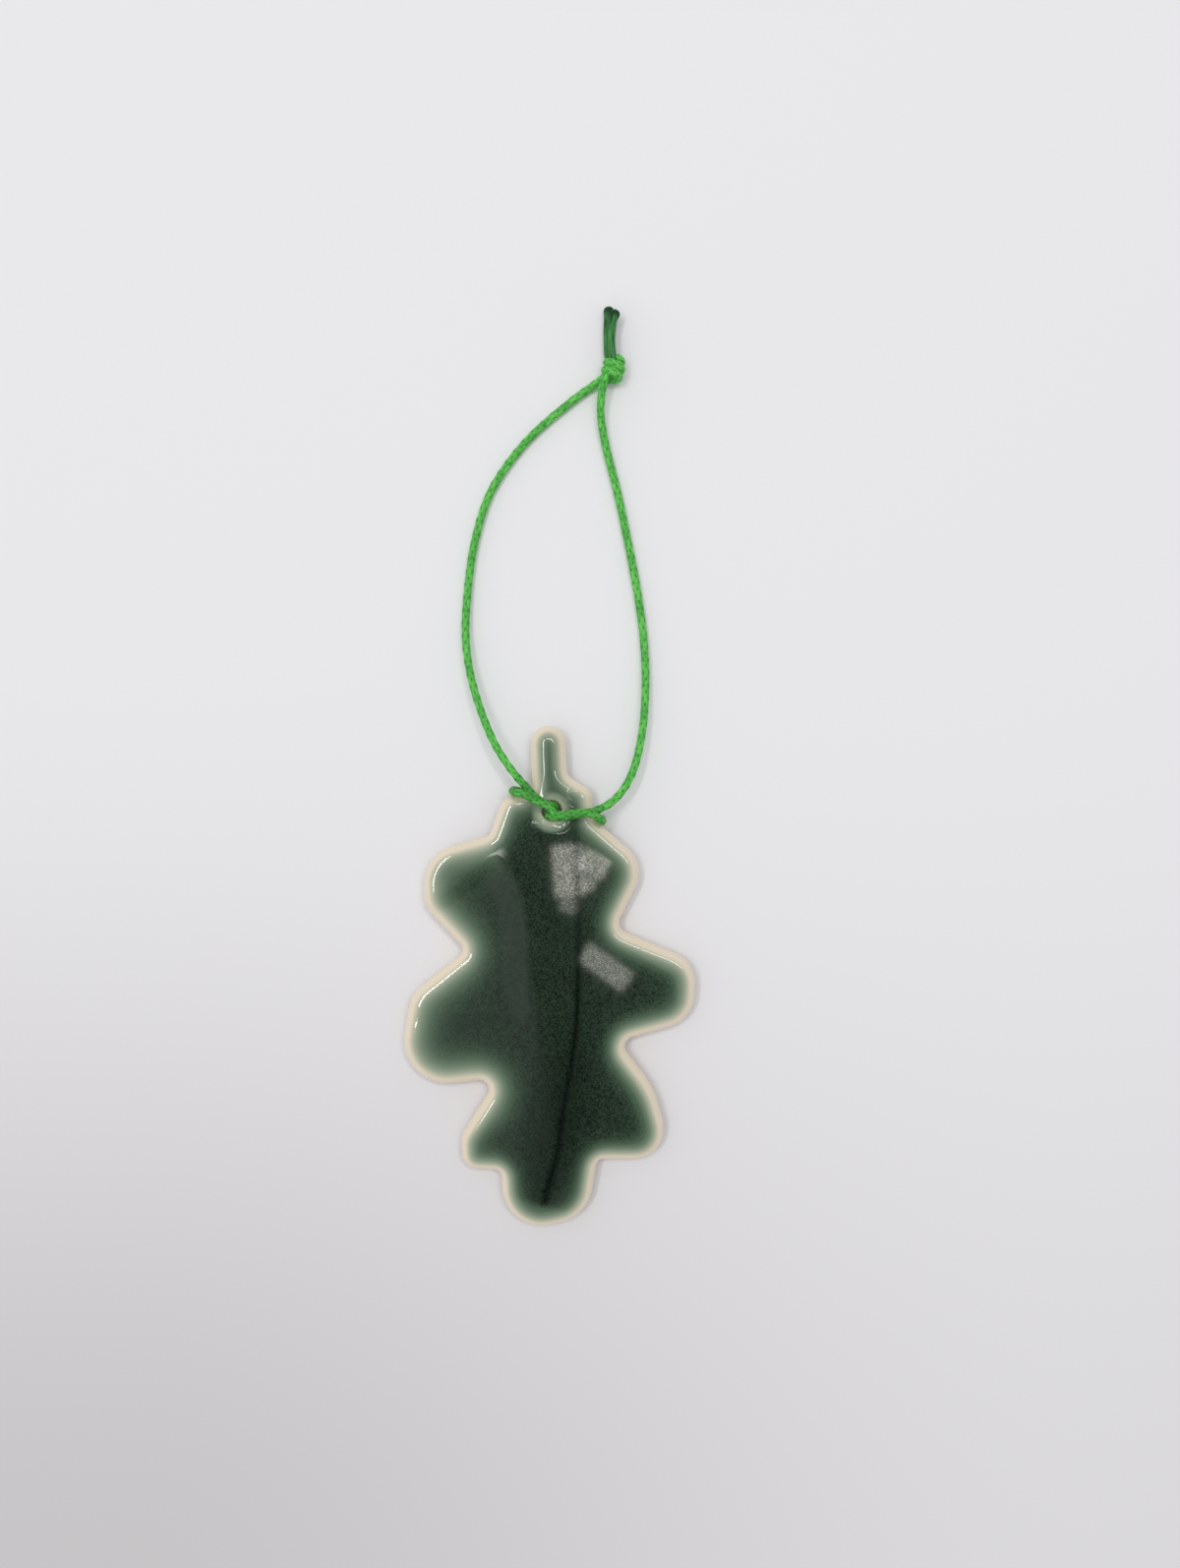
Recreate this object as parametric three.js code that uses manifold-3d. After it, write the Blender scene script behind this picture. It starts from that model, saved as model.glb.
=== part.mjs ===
// Porcelain leaf ornament: a glazed leaf plate with a hanging loop of cord hitched through its hole.
// Millimetres, +Z up. The leaf lies front up; the stem and the loop point towards +Y.
// The origin is under the middle of the leaf, on the surface that the leaf's flat back rests on.

import * as THREE from 'three';
import { mergeVertices } from 'three/addons/utils/BufferGeometryUtils.js';
import Module from 'manifold-3d';

const wasm = await Module();
wasm.setup();

// Leaf plate
const LEAF_LENGTH = 89.5;         // from the leaf's tip to the end of its stem
const LEAF_WIDTH = 52.2;          // across the middle lobes
const LEAF_THICKNESS = 4.4;
const FRONT_ROUND = 1.6;          // how far the rounding of the front edge reaches in
const FRONT_DROP = 2.2;           // how far the rounding of the front edge reaches down
const BACK_ROUND = 0.7;           // rounding of the back edge, wiped smooth before firing
const NECK_RELIEF = 1.8;          // the neck and stem are this much thinner, on the back, for the cord
const RELIEF_BELOW_HOLE = 4.65;   // the full relief starts this far below the middle of the hole
const RELIEF_SLOPE = 7;           // length of the slope from the flat back up to the full relief
const RELIEF_REACH = 3.0;         // height above which the relief moves nothing

// Glaze coat, thin over the edge and thick on the front
const GLAZE_AT_RIM = 0.15;
const GLAZE_ON_FRONT = 0.4;
const GLAZE_LINE = 1.1;           // the coat stops this far above the flat back
const BOND_LINE = 0.08;           // modelling clearance between the coat and the porcelain

// Hanging hole, with a raised lip round its front mouth
const HOLE = { x: 0.5, y: 29.65, radius: 1.75 };
const LIP_WIDTH = 1.25;           // from the hole's wall to where the lip meets the face
const LIP_HEIGHT = 0.2;
const LIP_RADIUS = HOLE.radius + LIP_WIDTH;
const HOLE_GLAZE_DEPTH = 0.9;     // how deep the coat runs into the hole
const HOLE_BACK_ROUND = 0.5;
const HOLE_SIDES = 24;

// How far above the middle of the hole the forms of the neck lie
const ABOVE_HOLE = {
  channelEnd: 12.45, stemTip: 12.05, notchRightOfStem: 7.65, notchLeftOfStem: 4.25,
  rightShoulder: 2.25, notchAtRightShoulder: -0.45, leftShoulder: -0.65,
};

// Points round the mouth, from the face to the wall: share of the lip's width, share of its height
const LIP_PROFILE = [[1, 0], [0.6, 1], [0.28, 0.25], [0.07, -1.5]];

// Share of a quarter round at which its middle lies, from either side
const ROUND_MIDDLE = 1 - Math.SQRT1_2;

// Midrib groove and stem channel, both pressed into the front.
// Each starts beside the lip, at headAngle degrees round the hole and headGap from the lip.
const MIDRIB = {
  halfWidth: 0.9, floorHalfWidth: 0.3, depthInGlaze: 0.3, depthInPorcelain: 0.6,
  headAngle: -36, headGap: 1.5,
  line: [[4.9, 20.4], [5.4, 10.5], [5.1, 3.1], [5.0, -6.8], [4.2, -14.4], [2.9, -21.9],
    [1.5, -31.8], [-0.3, -38.2], [-1.1, -41.3]],
};
const STEM_CHANNEL = {
  halfWidth: 0.75, floorHalfWidth: 0.3, depthInGlaze: 0.2, depthInPorcelain: 0.4,
  headAngle: 95.5, headGap: 1.4,
  line: [[-0.3, HOLE.y + ABOVE_HOLE.channelEnd]],
};
const GROOVE_STEP = 4;            // length of one facet along a groove
const GROOVE_END_SIDES = 4;       // facets round each end of a groove

// Cord: one braided cord, hitched through the hole and knotted at the top
const CORD_DIAMETER = 1.4;
const CORD_SIDES = 8;
const STRAND_STEP = 3.5;          // length of one facet along a free strand
const HITCH_STEP = 1.1;           // length of one facet along the tight turns of the hitch

// Knot where the two strands are tied together
const KNOT = { x: 11.5, y: 109, z: 2.25, tilt: -12 };
const KNOT_RADIUS = 2.2;
const KNOT_WAIST = 1.9;           // radius between the two wraps
const KNOT_END = 1.2;             // radius of the flat at each end
const KNOT_LENGTH = 4.9;
const KNOT_SIDES = 20;
const TIP_DIAMETER = 1.8;         // heat-sealed ends of the two tails

// One wrap of the knot, from its end to the waist: share of the half length, share of the radius
const WRAP_PROFILE = [[0.72, 0.9], [0.42, 1], [0.2, 0.96]];

// The leaf's outline is one belt round these circles, counter-clockwise from the stem tip.
// The belt runs outside a lobe and inside a notch, and straight between one circle and the next.
// The belt, the hole and the grooves are then stretched together to the leaf's length and width.
// The stem, its notches and the shoulders are placed from the hole that they carry.
const LOBE = 1;
const NOTCH = -1;
const CIRCLES = {
  stemTip: { side: LOBE, x: -0.2, y: HOLE.y + ABOVE_HOLE.stemTip, radius: 3.1 },
  notchLeftOfStem: { side: NOTCH, x: -4.1, y: HOLE.y + ABOVE_HOLE.notchLeftOfStem, radius: 1.1 },
  leftShoulder: { side: LOBE, x: -5.8, y: HOLE.y + ABOVE_HOLE.leftShoulder, radius: 3.4 },
  notchUnderLeftShoulder: { side: NOTCH, x: -11.6, y: 26.1, radius: 1.1 },
  upperLeftLobeTop: { side: LOBE, x: -15.7, y: 16.7, radius: 6.8 },
  upperLeftLobeLow: { side: LOBE, x: -17, y: 14.8, radius: 5.5 },
  upperLeftNotch: { side: NOTCH, x: -16.9, y: 4.7, radius: 1.3 },
  middleLeftLobeTop: { side: LOBE, x: -19.1, y: -6.6, radius: 6.2 },
  middleLeftLobeLow: { side: LOBE, x: -18.2, y: -11.4, radius: 7.9 },
  lowerLeftNotch: { side: NOTCH, x: -12.5, y: -20.3, radius: 1.6 },
  lowerLeftLobeTop: { side: LOBE, x: -11.7, y: -29.8, radius: 4.1 },
  lowerLeftLobeLow: { side: LOBE, x: -12.7, y: -31.6, radius: 3 },
  notchLeftOfTip: { side: NOTCH, x: -9.9, y: -36, radius: 1.3 },
  leafTipLeft: { side: LOBE, x: -1.3, y: -37.6, radius: 7.2 },
  leafTipRight: { side: LOBE, x: 0.5, y: -37.1, radius: 7.3 },
  notchRightOfTip: { side: NOTCH, x: 9.9, y: -34.3, radius: 1.5 },
  lowerRightLobeLow: { side: LOBE, x: 15.3, y: -27.6, radius: 5.2 },
  lowerRightLobeTop: { side: LOBE, x: 17, y: -26.9, radius: 3.5 },
  lowerRightLobeSide: { side: LOBE, x: 3.7, y: -27.5, radius: 16.5 },
  lowerRightNotch: { side: NOTCH, x: 15.3, y: -12.7, radius: 1.7 },
  middleRightLobeLow: { side: LOBE, x: 19.9, y: -3.2, radius: 6.2 },
  middleRightLobeTop: { side: LOBE, x: 20.4, y: -1.3, radius: 5.8 },
  upperRightNotch: { side: NOTCH, x: 14.5, y: 9.5, radius: 1.9 },
  upperRightLobe: { side: LOBE, x: 10.1, y: 18.4, radius: 6 },
  notchAtRightShoulder: { side: NOTCH, x: 9.8, y: HOLE.y + ABOVE_HOLE.notchAtRightShoulder, radius: 2 },
  rightShoulder: { side: LOBE, x: 5.4, y: HOLE.y + ABOVE_HOLE.rightShoulder, radius: 2.3 },
  notchRightOfStem: { side: NOTCH, x: 5.6, y: HOLE.y + ABOVE_HOLE.notchRightOfStem, radius: 2.5 },
};
const OUTLINE = Object.values(CIRCLES);
const OUTLINE_STEP = THREE.MathUtils.degToRad(22.5);
const EDGE_STEPS = 4;             // facets round the front edge

// Routes of the cord, chosen by hand along its centre line.
// The two pivots are where the strands leave the hitch; the loop swings about the line through them.
const LEFT_PIVOT = [-6.2, 36.3, 4.9];
const RIGHT_PIVOT = [10.5, 30.7, 4.9];
const LEFT_STRAND = [
  LEFT_PIVOT, [-9.6, 41.4, 4.2], [-13.5, 51.4, 2.7], [-15.1, 60.4, 1.5], [-14.8, 69.4, 0.9],
  [-13.5, 78.4, 0.8], [-10.6, 87.3, 0.8], [-4.4, 96.1, 0.8], [3.8, 103.4, 0.9], [9.1, 107.2, 1.2],
];
const RIGHT_STRAND = [
  RIGHT_PIVOT, [12.7, 32.7, 4.4], [14.8, 36.3, 3.6], [16.5, 42.7, 2.6], [17.3, 51.6, 1.5],
  [17, 60.5, 0.9], [15.8, 69.4, 0.8], [14.1, 78.4, 0.8], [12.2, 87.3, 0.8], [10, 96.1, 1],
  [9.2, 101.6, 1.8], [9.75, 106.3, 2.9],
];
const HITCH = [
  [-5.6, 35.6, 5.1], [-4.8, 34.7, 5.3], [-4, 33.85, 5.4], [-3, 32.65, 5.45], [-2.1, 31.8, 5.45],
  [-1.2, 31.2, 5.45], [-0.35, 30.82, 5.4], [0.45, 30.6, 5.1], [0.97, 30.46, 4.45], [1.12, 30.34, 3.6],
  [1.12, 30.34, 2.3], [0.9, 30.5, 1.4], [0.1, 30.95, 0.93], [-3, 31.9, 0.9], [-4.9, 32.8, 0.95],
  [-5.85, 33.2, 1.3], [-6.35, 33.3, 2.1], [-6.5, 33.25, 3], [-6.5, 33.15, 4.1], [-6.25, 32.95, 5.4],
  [-5.6, 32.85, 6.4], [-4.7, 32.7, 6.9], [-3.7, 32.3, 7.15], [-2.9, 31.85, 7.22], [-2.1, 31.4, 7.26],
  [-1.1, 31, 7.27], [-0.27, 30.67, 7.22], [0.45, 30, 7.04], [0.95, 29.37, 7.13], [1.7, 29, 7.3],
  [2.75, 28.92, 7.3], [3.9, 29.1, 7.3], [5, 29.3, 7.3], [6.1, 29.33, 7.3], [7.4, 29.2, 7.25],
  [8.3, 28.8, 6.95], [9.05, 28.15, 6.2], [9.42, 27.75, 4.95], [9.47, 27.95, 3.8], [9.38, 28.12, 2.8],
  [9.2, 28.15, 2], [8.75, 28.1, 1.3], [8, 28.05, 0.93], [5, 28.1, 0.9], [2.2, 28.3, 0.9],
  [0.9, 28.48, 0.93], [0.12, 28.8, 1.4], [-0.12, 28.96, 2.3], [-0.12, 28.96, 3.6], [-0.05, 28.85, 4.45],
  [0.3, 28.74, 5.05], [0.9, 28.6, 5.4], [1.7, 28.55, 5.47], [2.8, 28.6, 5.47], [4.2, 28.85, 5.47],
  [5.6, 29.15, 5.47], [7.4, 29.45, 5.4], [8.6, 29.8, 5.25], [9.6, 30.25, 5.05],
];
const LEFT_TAIL = [[10.5, 111.9, 1.4], [10.4, 114.5, 1], [10.6, 119.6, 1]];
const RIGHT_TAIL = [[11.25, 111.9, 2.9], [11.05, 114.3, 2.65], [11.6, 117.7, 2.55], [11.95, 119.3, 2.5]];

const FINISH = {
  porcelain: { color: 0xe6dfcd, roughness: 0.55, metalness: 0 },
  glaze: { color: 0x35493c, roughness: 0.15, metalness: 0 },
  cord: { color: 0x2f9c33, roughness: 0.8, metalness: 0 },
  sealedCord: { color: 0x1f6d2c, roughness: 0.6, metalness: 0 },
};

// The belt as drawn, counter-clockwise: its points, each with the direction that faces out of the leaf
function drawnBelt() {
  const directions = OUTLINE.map((from, index) => {
    const to = OUTLINE[(index + 1) % OUTLINE.length];
    const distance = Math.hypot(to.x - from.x, to.y - from.y);
    const widening = to.side * to.radius - from.side * from.radius;
    return Math.atan2(to.y - from.y, to.x - from.x) - Math.asin(widening / distance);
  });
  return OUTLINE.flatMap(({ side, x, y, radius }, index) => {
    const start = directions.at(index - 1);
    const sweep = side * THREE.MathUtils.euclideanModulo(side * (directions[index] - start), 2 * Math.PI);
    const steps = Math.max(1, Math.ceil(Math.abs(sweep) / OUTLINE_STEP));
    return Array.from({ length: steps + 1 }, (_, step) => {
      const direction = start + (sweep * step) / steps;
      const outward = new THREE.Vector2(Math.sin(direction), -Math.cos(direction));
      return { point: new THREE.Vector2(x, y).addScaledVector(outward, side * radius), outward };
    });
  });
}

const BELT = drawnBelt();
const DRAWN_BOX = new THREE.Box2().setFromPoints(BELT.map(({ point }) => point));
const STRETCH = new THREE.Vector2(LEAF_WIDTH, LEAF_LENGTH).divide(DRAWN_BOX.getSize(new THREE.Vector2()));
const HOLE_MIDDLE = new THREE.Vector2(HOLE.x, HOLE.y).multiply(STRETCH);
const RELIEF_END = HOLE_MIDDLE.y - RELIEF_BELOW_HOLE;
const RELIEF_START = RELIEF_END - RELIEF_SLOPE;

// The leaf's outline at one inset from its edge, [x, y]. All insets have the same number of points.
function outlineRing(inset) {
  return BELT.map(({ point, outward }) => {
    const normal = outward.clone().divide(STRETCH).normalize();
    const { x, y } = point.clone().multiply(STRETCH).addScaledVector(normal, -inset);
    return [x, y];
  });
}

function holeRing(radius) {
  return Array.from({ length: HOLE_SIDES }, (_, index) => {
    const angle = (2 * Math.PI * index) / HOLE_SIDES;
    return [HOLE_MIDDLE.x + radius * Math.cos(angle), HOLE_MIDDLE.y + radius * Math.sin(angle)];
  });
}

// The middle line of a groove, from its head beside the lip of the hole
function grooveLine({ halfWidth, headAngle, headGap, line }) {
  const angle = THREE.MathUtils.degToRad(headAngle);
  const fromHole = new THREE.Vector2(Math.cos(angle), Math.sin(angle))
    .multiplyScalar(LIP_RADIUS + headGap + halfWidth);
  const places = line.map(([x, y]) => new THREE.Vector2(x, y).multiply(STRETCH));
  return new THREE.SplineCurve([fromHole.add(HOLE_MIDDLE), ...places]);
}

// The closed edge of a groove, counter-clockwise: up one side of its line, round the end and back.
function grooveRing(curve, halfWidth) {
  const steps = Math.round(curve.getLength() / GROOVE_STEP);
  const side = (t, sign) => {
    const point = curve.getPoint(t);
    const along = curve.getTangent(t);
    return [point.x + sign * along.y * halfWidth, point.y - sign * along.x * halfWidth];
  };
  const end = (t, sign) => {
    const point = curve.getPoint(t);
    const along = curve.getTangent(t);
    const start = Math.atan2(-sign * along.x, sign * along.y);
    return Array.from({ length: GROOVE_END_SIDES - 1 }, (_, index) => {
      const angle = start + (Math.PI * (index + 1)) / GROOVE_END_SIDES;
      return [point.x + halfWidth * Math.cos(angle), point.y + halfWidth * Math.sin(angle)];
    });
  };
  const there = Array.from({ length: steps + 1 }, (_, index) => side(index / steps, 1));
  const back = Array.from({ length: steps + 1 }, (_, index) => side(1 - index / steps, -1));
  return [...there, ...end(1, 1), ...back, ...end(0, -1)];
}

function atHeight(ring, z) {
  return ring.map(([x, y]) => new THREE.Vector3(x, y, z));
}

// Triangles between two rings of equal count, facing right of the walk from the first to the second.
function band(first, second) {
  return first.flatMap((corner, index) => {
    const next = (index + 1) % first.length;
    return [[corner, first[next], second[next]], [corner, second[next], second[index]]];
  });
}

// Triangles that fill a level ring and leave its holes open, facing up.
function sheet(ring, holes, z) {
  const flat = (loop) => loop.map(([x, y]) => new THREE.Vector2(x, y));
  const corners = atHeight([ring, ...holes].flat(), z);
  return THREE.ShapeUtils.triangulateShape(flat(ring), holes.map(flat))
    .map((triangle) => triangle.map((index) => corners[index]));
}

function faceDown(triangles) {
  return triangles.map(([a, b, c]) => [a, c, b]);
}

function bandsThrough(rings) {
  return rings.slice(1).flatMap((ring, index) => band(rings[index], ring));
}

// Height after the relief behind the neck: the back rises by all of it, and the front not at all.
function relievedHeight(y, z) {
  const relief = NECK_RELIEF * THREE.MathUtils.smoothstep(y, RELIEF_START, RELIEF_END);
  return z + relief * Math.max(0, 1 - z / RELIEF_REACH);
}

function solidFrom(triangles) {
  const points = triangles.flat().flatMap(({ x, y, z }) => [x, y, relievedHeight(y, z)]);
  const geometry = new THREE.BufferGeometry();
  geometry.setAttribute('position', new THREE.Float32BufferAttribute(points, 3));
  geometry.computeVertexNormals();
  return geometry;
}

// Rings down the rounded front edge, from the front to the side, this deep under the glazed surface
function edgeRings(depthAtRim, depthOnFront) {
  return Array.from({ length: EDGE_STEPS + 1 }, (_, index) => {
    const angle = (Math.PI / 2) * (1 - index / EDGE_STEPS);
    const outward = new THREE.Vector2(Math.cos(angle) / FRONT_ROUND, Math.sin(angle) / FRONT_DROP);
    outward.normalize();
    const depth = THREE.MathUtils.lerp(depthAtRim, depthOnFront, Math.sin(angle));
    const inset = FRONT_ROUND * (1 - Math.cos(angle)) + depth * outward.x;
    const z = LEAF_THICKNESS - FRONT_DROP * (1 - Math.sin(angle)) - depth * outward.y;
    return atHeight(outlineRing(inset), z);
  });
}

// Rings from the lip round the hole's front mouth down into the hole
function mouthRings(depthAtWall, depthOnFront) {
  const lip = LIP_PROFILE.map(([width, height], index) => {
    const wallShare = index / LIP_PROFILE.length;
    const radius = HOLE.radius + LIP_WIDTH * width + depthAtWall * wallShare;
    return atHeight(holeRing(radius), LEAF_THICKNESS + LIP_HEIGHT * height - depthOnFront * (1 - wallShare));
  });
  return [...lip, atHeight(holeRing(HOLE.radius + depthAtWall), LEAF_THICKNESS - HOLE_GLAZE_DEPTH)];
}

// One whole front surface, facing up and out: the face with its grooves, the edge and the hole's mouth.
// The face has the same plan at every depth, so the coat and the porcelain under it stay parallel.
function frontSurface({ atRim, onFront, grooveDepth }) {
  const level = LEAF_THICKNESS - onFront;
  const edge = edgeRings(atRim, onFront);
  const mouth = mouthRings(atRim, onFront);
  const grooves = [MIDRIB, STEM_CHANNEL].map((groove) => {
    const line = grooveLine(groove);
    const top = grooveRing(line, groove.halfWidth);
    const floor = grooveRing(line, groove.floorHalfWidth);
    const floorLevel = level - groove[grooveDepth];
    const sides = band(atHeight(top, level), atHeight(floor, floorLevel));
    return { top, faces: [...sides, ...sheet(floor, [], floorLevel)] };
  });
  const triangles = [
    ...sheet(outlineRing(FRONT_ROUND), [holeRing(LIP_RADIUS), ...grooves.map(({ top }) => top)], level),
    ...grooves.flatMap(({ faces }) => faces),
    ...bandsThrough([...edge].reverse()),
    ...bandsThrough(mouth),
  ];
  return { triangles, rim: edge.at(-1), wall: mouth.at(-1) };
}

function glazeCoat() {
  const outside = frontSurface({ atRim: 0, onFront: 0, grooveDepth: 'depthInGlaze' });
  const inside = frontSurface({
    atRim: GLAZE_AT_RIM, onFront: GLAZE_ON_FRONT, grooveDepth: 'depthInPorcelain',
  });
  const outerFoot = atHeight(outlineRing(0), GLAZE_LINE);
  const innerFoot = atHeight(outlineRing(GLAZE_AT_RIM), GLAZE_LINE);
  return solidFrom([
    ...outside.triangles,
    ...faceDown(inside.triangles),
    ...bandsThrough([inside.rim, innerFoot, outerFoot, outside.rim]),
    ...band(outside.wall, inside.wall),
  ]);
}

function porcelainBody() {
  const front = frontSurface({
    atRim: GLAZE_AT_RIM + BOND_LINE,
    onFront: GLAZE_ON_FRONT + BOND_LINE,
    grooveDepth: 'depthInPorcelain',
  });
  const ledge = GLAZE_LINE - BOND_LINE;
  const backMiddle = BACK_ROUND * ROUND_MIDDLE;
  const side = [
    atHeight(outlineRing(BACK_ROUND), 0),
    atHeight(outlineRing(backMiddle), backMiddle),
    atHeight(outlineRing(0), BACK_ROUND),
    atHeight(outlineRing(0), ledge),
    atHeight(outlineRing(GLAZE_AT_RIM + BOND_LINE), ledge),
    front.rim,
  ];
  const holeLedge = LEAF_THICKNESS - HOLE_GLAZE_DEPTH - BOND_LINE;
  const holeMiddle = HOLE_BACK_ROUND * ROUND_MIDDLE;
  const holeWall = [
    front.wall,
    atHeight(holeRing(HOLE.radius + GLAZE_AT_RIM + BOND_LINE), holeLedge),
    atHeight(holeRing(HOLE.radius), holeLedge),
    atHeight(holeRing(HOLE.radius), HOLE_BACK_ROUND),
    atHeight(holeRing(HOLE.radius + holeMiddle), holeMiddle),
    atHeight(holeRing(HOLE.radius + HOLE_BACK_ROUND), 0),
  ];
  return solidFrom([
    ...front.triangles,
    ...bandsThrough(side),
    ...bandsThrough(holeWall),
    ...faceDown(backFace(outlineRing(BACK_ROUND), holeRing(HOLE.radius + HOLE_BACK_ROUND))),
  ]);
}

// The back in three parts: the plane where the leaf rests, the slope, and the level neck round the hole.
// They meet on straight lines across the leaf, so that the resting part is one true plane.
function backFace(ring, hole) {
  const below = (limit) => ([, y]) => y < limit;
  const first = (limit) => ring.findIndex(below(limit));
  const last = (limit) => ring.findLastIndex(below(limit));
  const neck = [...ring.slice(last(RELIEF_END) + 1), ...ring.slice(0, first(RELIEF_END))];
  const slope = [
    ...ring.slice(last(RELIEF_START), last(RELIEF_END) + 2),
    ...ring.slice(first(RELIEF_END) - 1, first(RELIEF_START) + 1),
  ];
  const plane = ring.slice(first(RELIEF_START), last(RELIEF_START) + 1);
  return [...sheet(neck, [hole], 0), ...sheet(slope, [], 0), ...sheet(plane, [], 0)];
}

function curveThrough(points) {
  return new THREE.CatmullRomCurve3(points.map((point) => new THREE.Vector3(...point)), false, 'centripetal');
}

function cordTube(points, stepLength) {
  const section = new THREE.Shape(Array.from({ length: CORD_SIDES }, (_, index) => {
    const angle = (2 * Math.PI * (index + 0.5)) / CORD_SIDES;
    return new THREE.Vector2(Math.cos(angle), Math.sin(angle)).multiplyScalar(CORD_DIAMETER / 2);
  }));
  const path = curveThrough(points);
  const steps = Math.round(path.getLength() / stepLength);
  return new THREE.ExtrudeGeometry(section, { steps, bevelEnabled: false, extrudePath: path });
}

function manifoldFrom(geometry) {
  const plain = geometry.index ? geometry.toNonIndexed() : geometry.clone();
  plain.deleteAttribute('normal');
  plain.deleteAttribute('uv');
  const merged = mergeVertices(plain);
  return new wasm.Manifold(new wasm.Mesh({
    numProp: 3,
    vertProperties: merged.attributes.position.array,
    triVerts: merged.index.array,
  }));
}

function joined(first, second) {
  const { vertProperties, triVerts } = manifoldFrom(first).add(manifoldFrom(second)).getMesh();
  const geometry = new THREE.BufferGeometry();
  geometry.setAttribute('position', new THREE.BufferAttribute(vertProperties, 3));
  geometry.setIndex(new THREE.BufferAttribute(triVerts, 1));
  geometry.computeVertexNormals();
  return geometry;
}

function ballAt(point, diameter) {
  return new THREE.SphereGeometry(diameter / 2, CORD_SIDES, CORD_SIDES / 2)
    .rotateX(Math.PI / 2)
    .translate(...point);
}

// A free strand, with a round end at its pivot so that it can swing clear of the hitch
function strand(points) {
  return joined(cordTube(points, STRAND_STEP), ballAt(points[0], CORD_DIAMETER));
}

// A tail of the knot, melted into a bead at its tip
function tail(points) {
  return joined(cordTube(points, STRAND_STEP), ballAt(points.at(-1), TIP_DIAMETER));
}

// The knot's outer shape: two wraps side by side round the strands
function knot() {
  const half = KNOT_LENGTH / 2;
  const rounded = WRAP_PROFILE.map(([y, radius]) => [KNOT_RADIUS * radius, half * y]);
  const wrap = [[0, half], [KNOT_END, half], ...rounded];
  const mirrored = wrap.map(([radius, y]) => [radius, -y]);
  const profile = [...mirrored, [KNOT_WAIST, 0], ...wrap.reverse()];
  return new THREE.LatheGeometry(profile.map(([radius, y]) => new THREE.Vector2(radius, y)), KNOT_SIDES)
    .rotateZ(THREE.MathUtils.degToRad(KNOT.tilt));
}

// The least gap between two stretches of one tube that aren't neighbours along it
function leastSelfGap(points) {
  const path = curveThrough(points);
  const count = Math.round(path.getLength() / (CORD_DIAMETER / 8));
  const samples = path.getSpacedPoints(count);
  const neighbours = Math.round((count * CORD_DIAMETER * 3) / path.getLength());
  let least = Infinity;
  for (let first = 0; first < samples.length; first += 1) {
    for (let second = first + neighbours; second < samples.length; second += 1) {
      least = Math.min(least, samples[first].distanceTo(samples[second]));
    }
  }
  return least - CORD_DIAMETER;
}

function piece(name, geometry, finish) {
  const mesh = new THREE.Mesh(geometry, new THREE.MeshStandardMaterial(finish));
  mesh.name = name;
  return mesh;
}

const leaf = new THREE.Group();
leaf.add(
  piece('leaf_porcelain', porcelainBody(), FINISH.porcelain),
  piece('leaf_glaze', glazeCoat(), FINISH.glaze),
  piece('cord_hitch', cordTube(HITCH, HITCH_STEP), FINISH.cord),
);

const knotPiece = piece('cord_knot', knot(), FINISH.cord);
knotPiece.position.set(KNOT.x, KNOT.y, KNOT.z);

const loop = new THREE.Group();
loop.add(
  piece('cord_left_strand', strand(LEFT_STRAND), FINISH.cord),
  piece('cord_right_strand', strand(RIGHT_STRAND), FINISH.cord),
  knotPiece,
  piece('cord_left_tail', tail(LEFT_TAIL), FINISH.sealedCord),
  piece('cord_right_tail', tail(RIGHT_TAIL), FINISH.sealedCord),
);

const ornament = new THREE.Group();
ornament.add(leaf, loop);

console.log(`Least gap of the hitch to itself: ${leastSelfGap(HITCH).toFixed(2)} mm`);
[['Left strand', LEFT_STRAND], ['Right strand', RIGHT_STRAND], ['Hitch', HITCH],
  ['Left tail', LEFT_TAIL], ['Right tail', RIGHT_TAIL]].forEach(([name, points]) => {
  console.log(`${name}: ${curveThrough(points).getLength().toFixed(1)} mm`);
});

export default ornament;
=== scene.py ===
"""Porcelain leaf ornament: a glazed leaf plate that hangs by one braided cord, lying on a pale table.

The classes hold their sizes in millimetres, and the finished meshes are in metres.
The leaf lies front up, with its stem and the cord's loop towards +Y.
"""

import logging
import math
from dataclasses import dataclass, field
from enum import Enum
from typing import Any

import bmesh
import bpy
import numpy as np
from mathutils import Matrix, Vector


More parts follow.
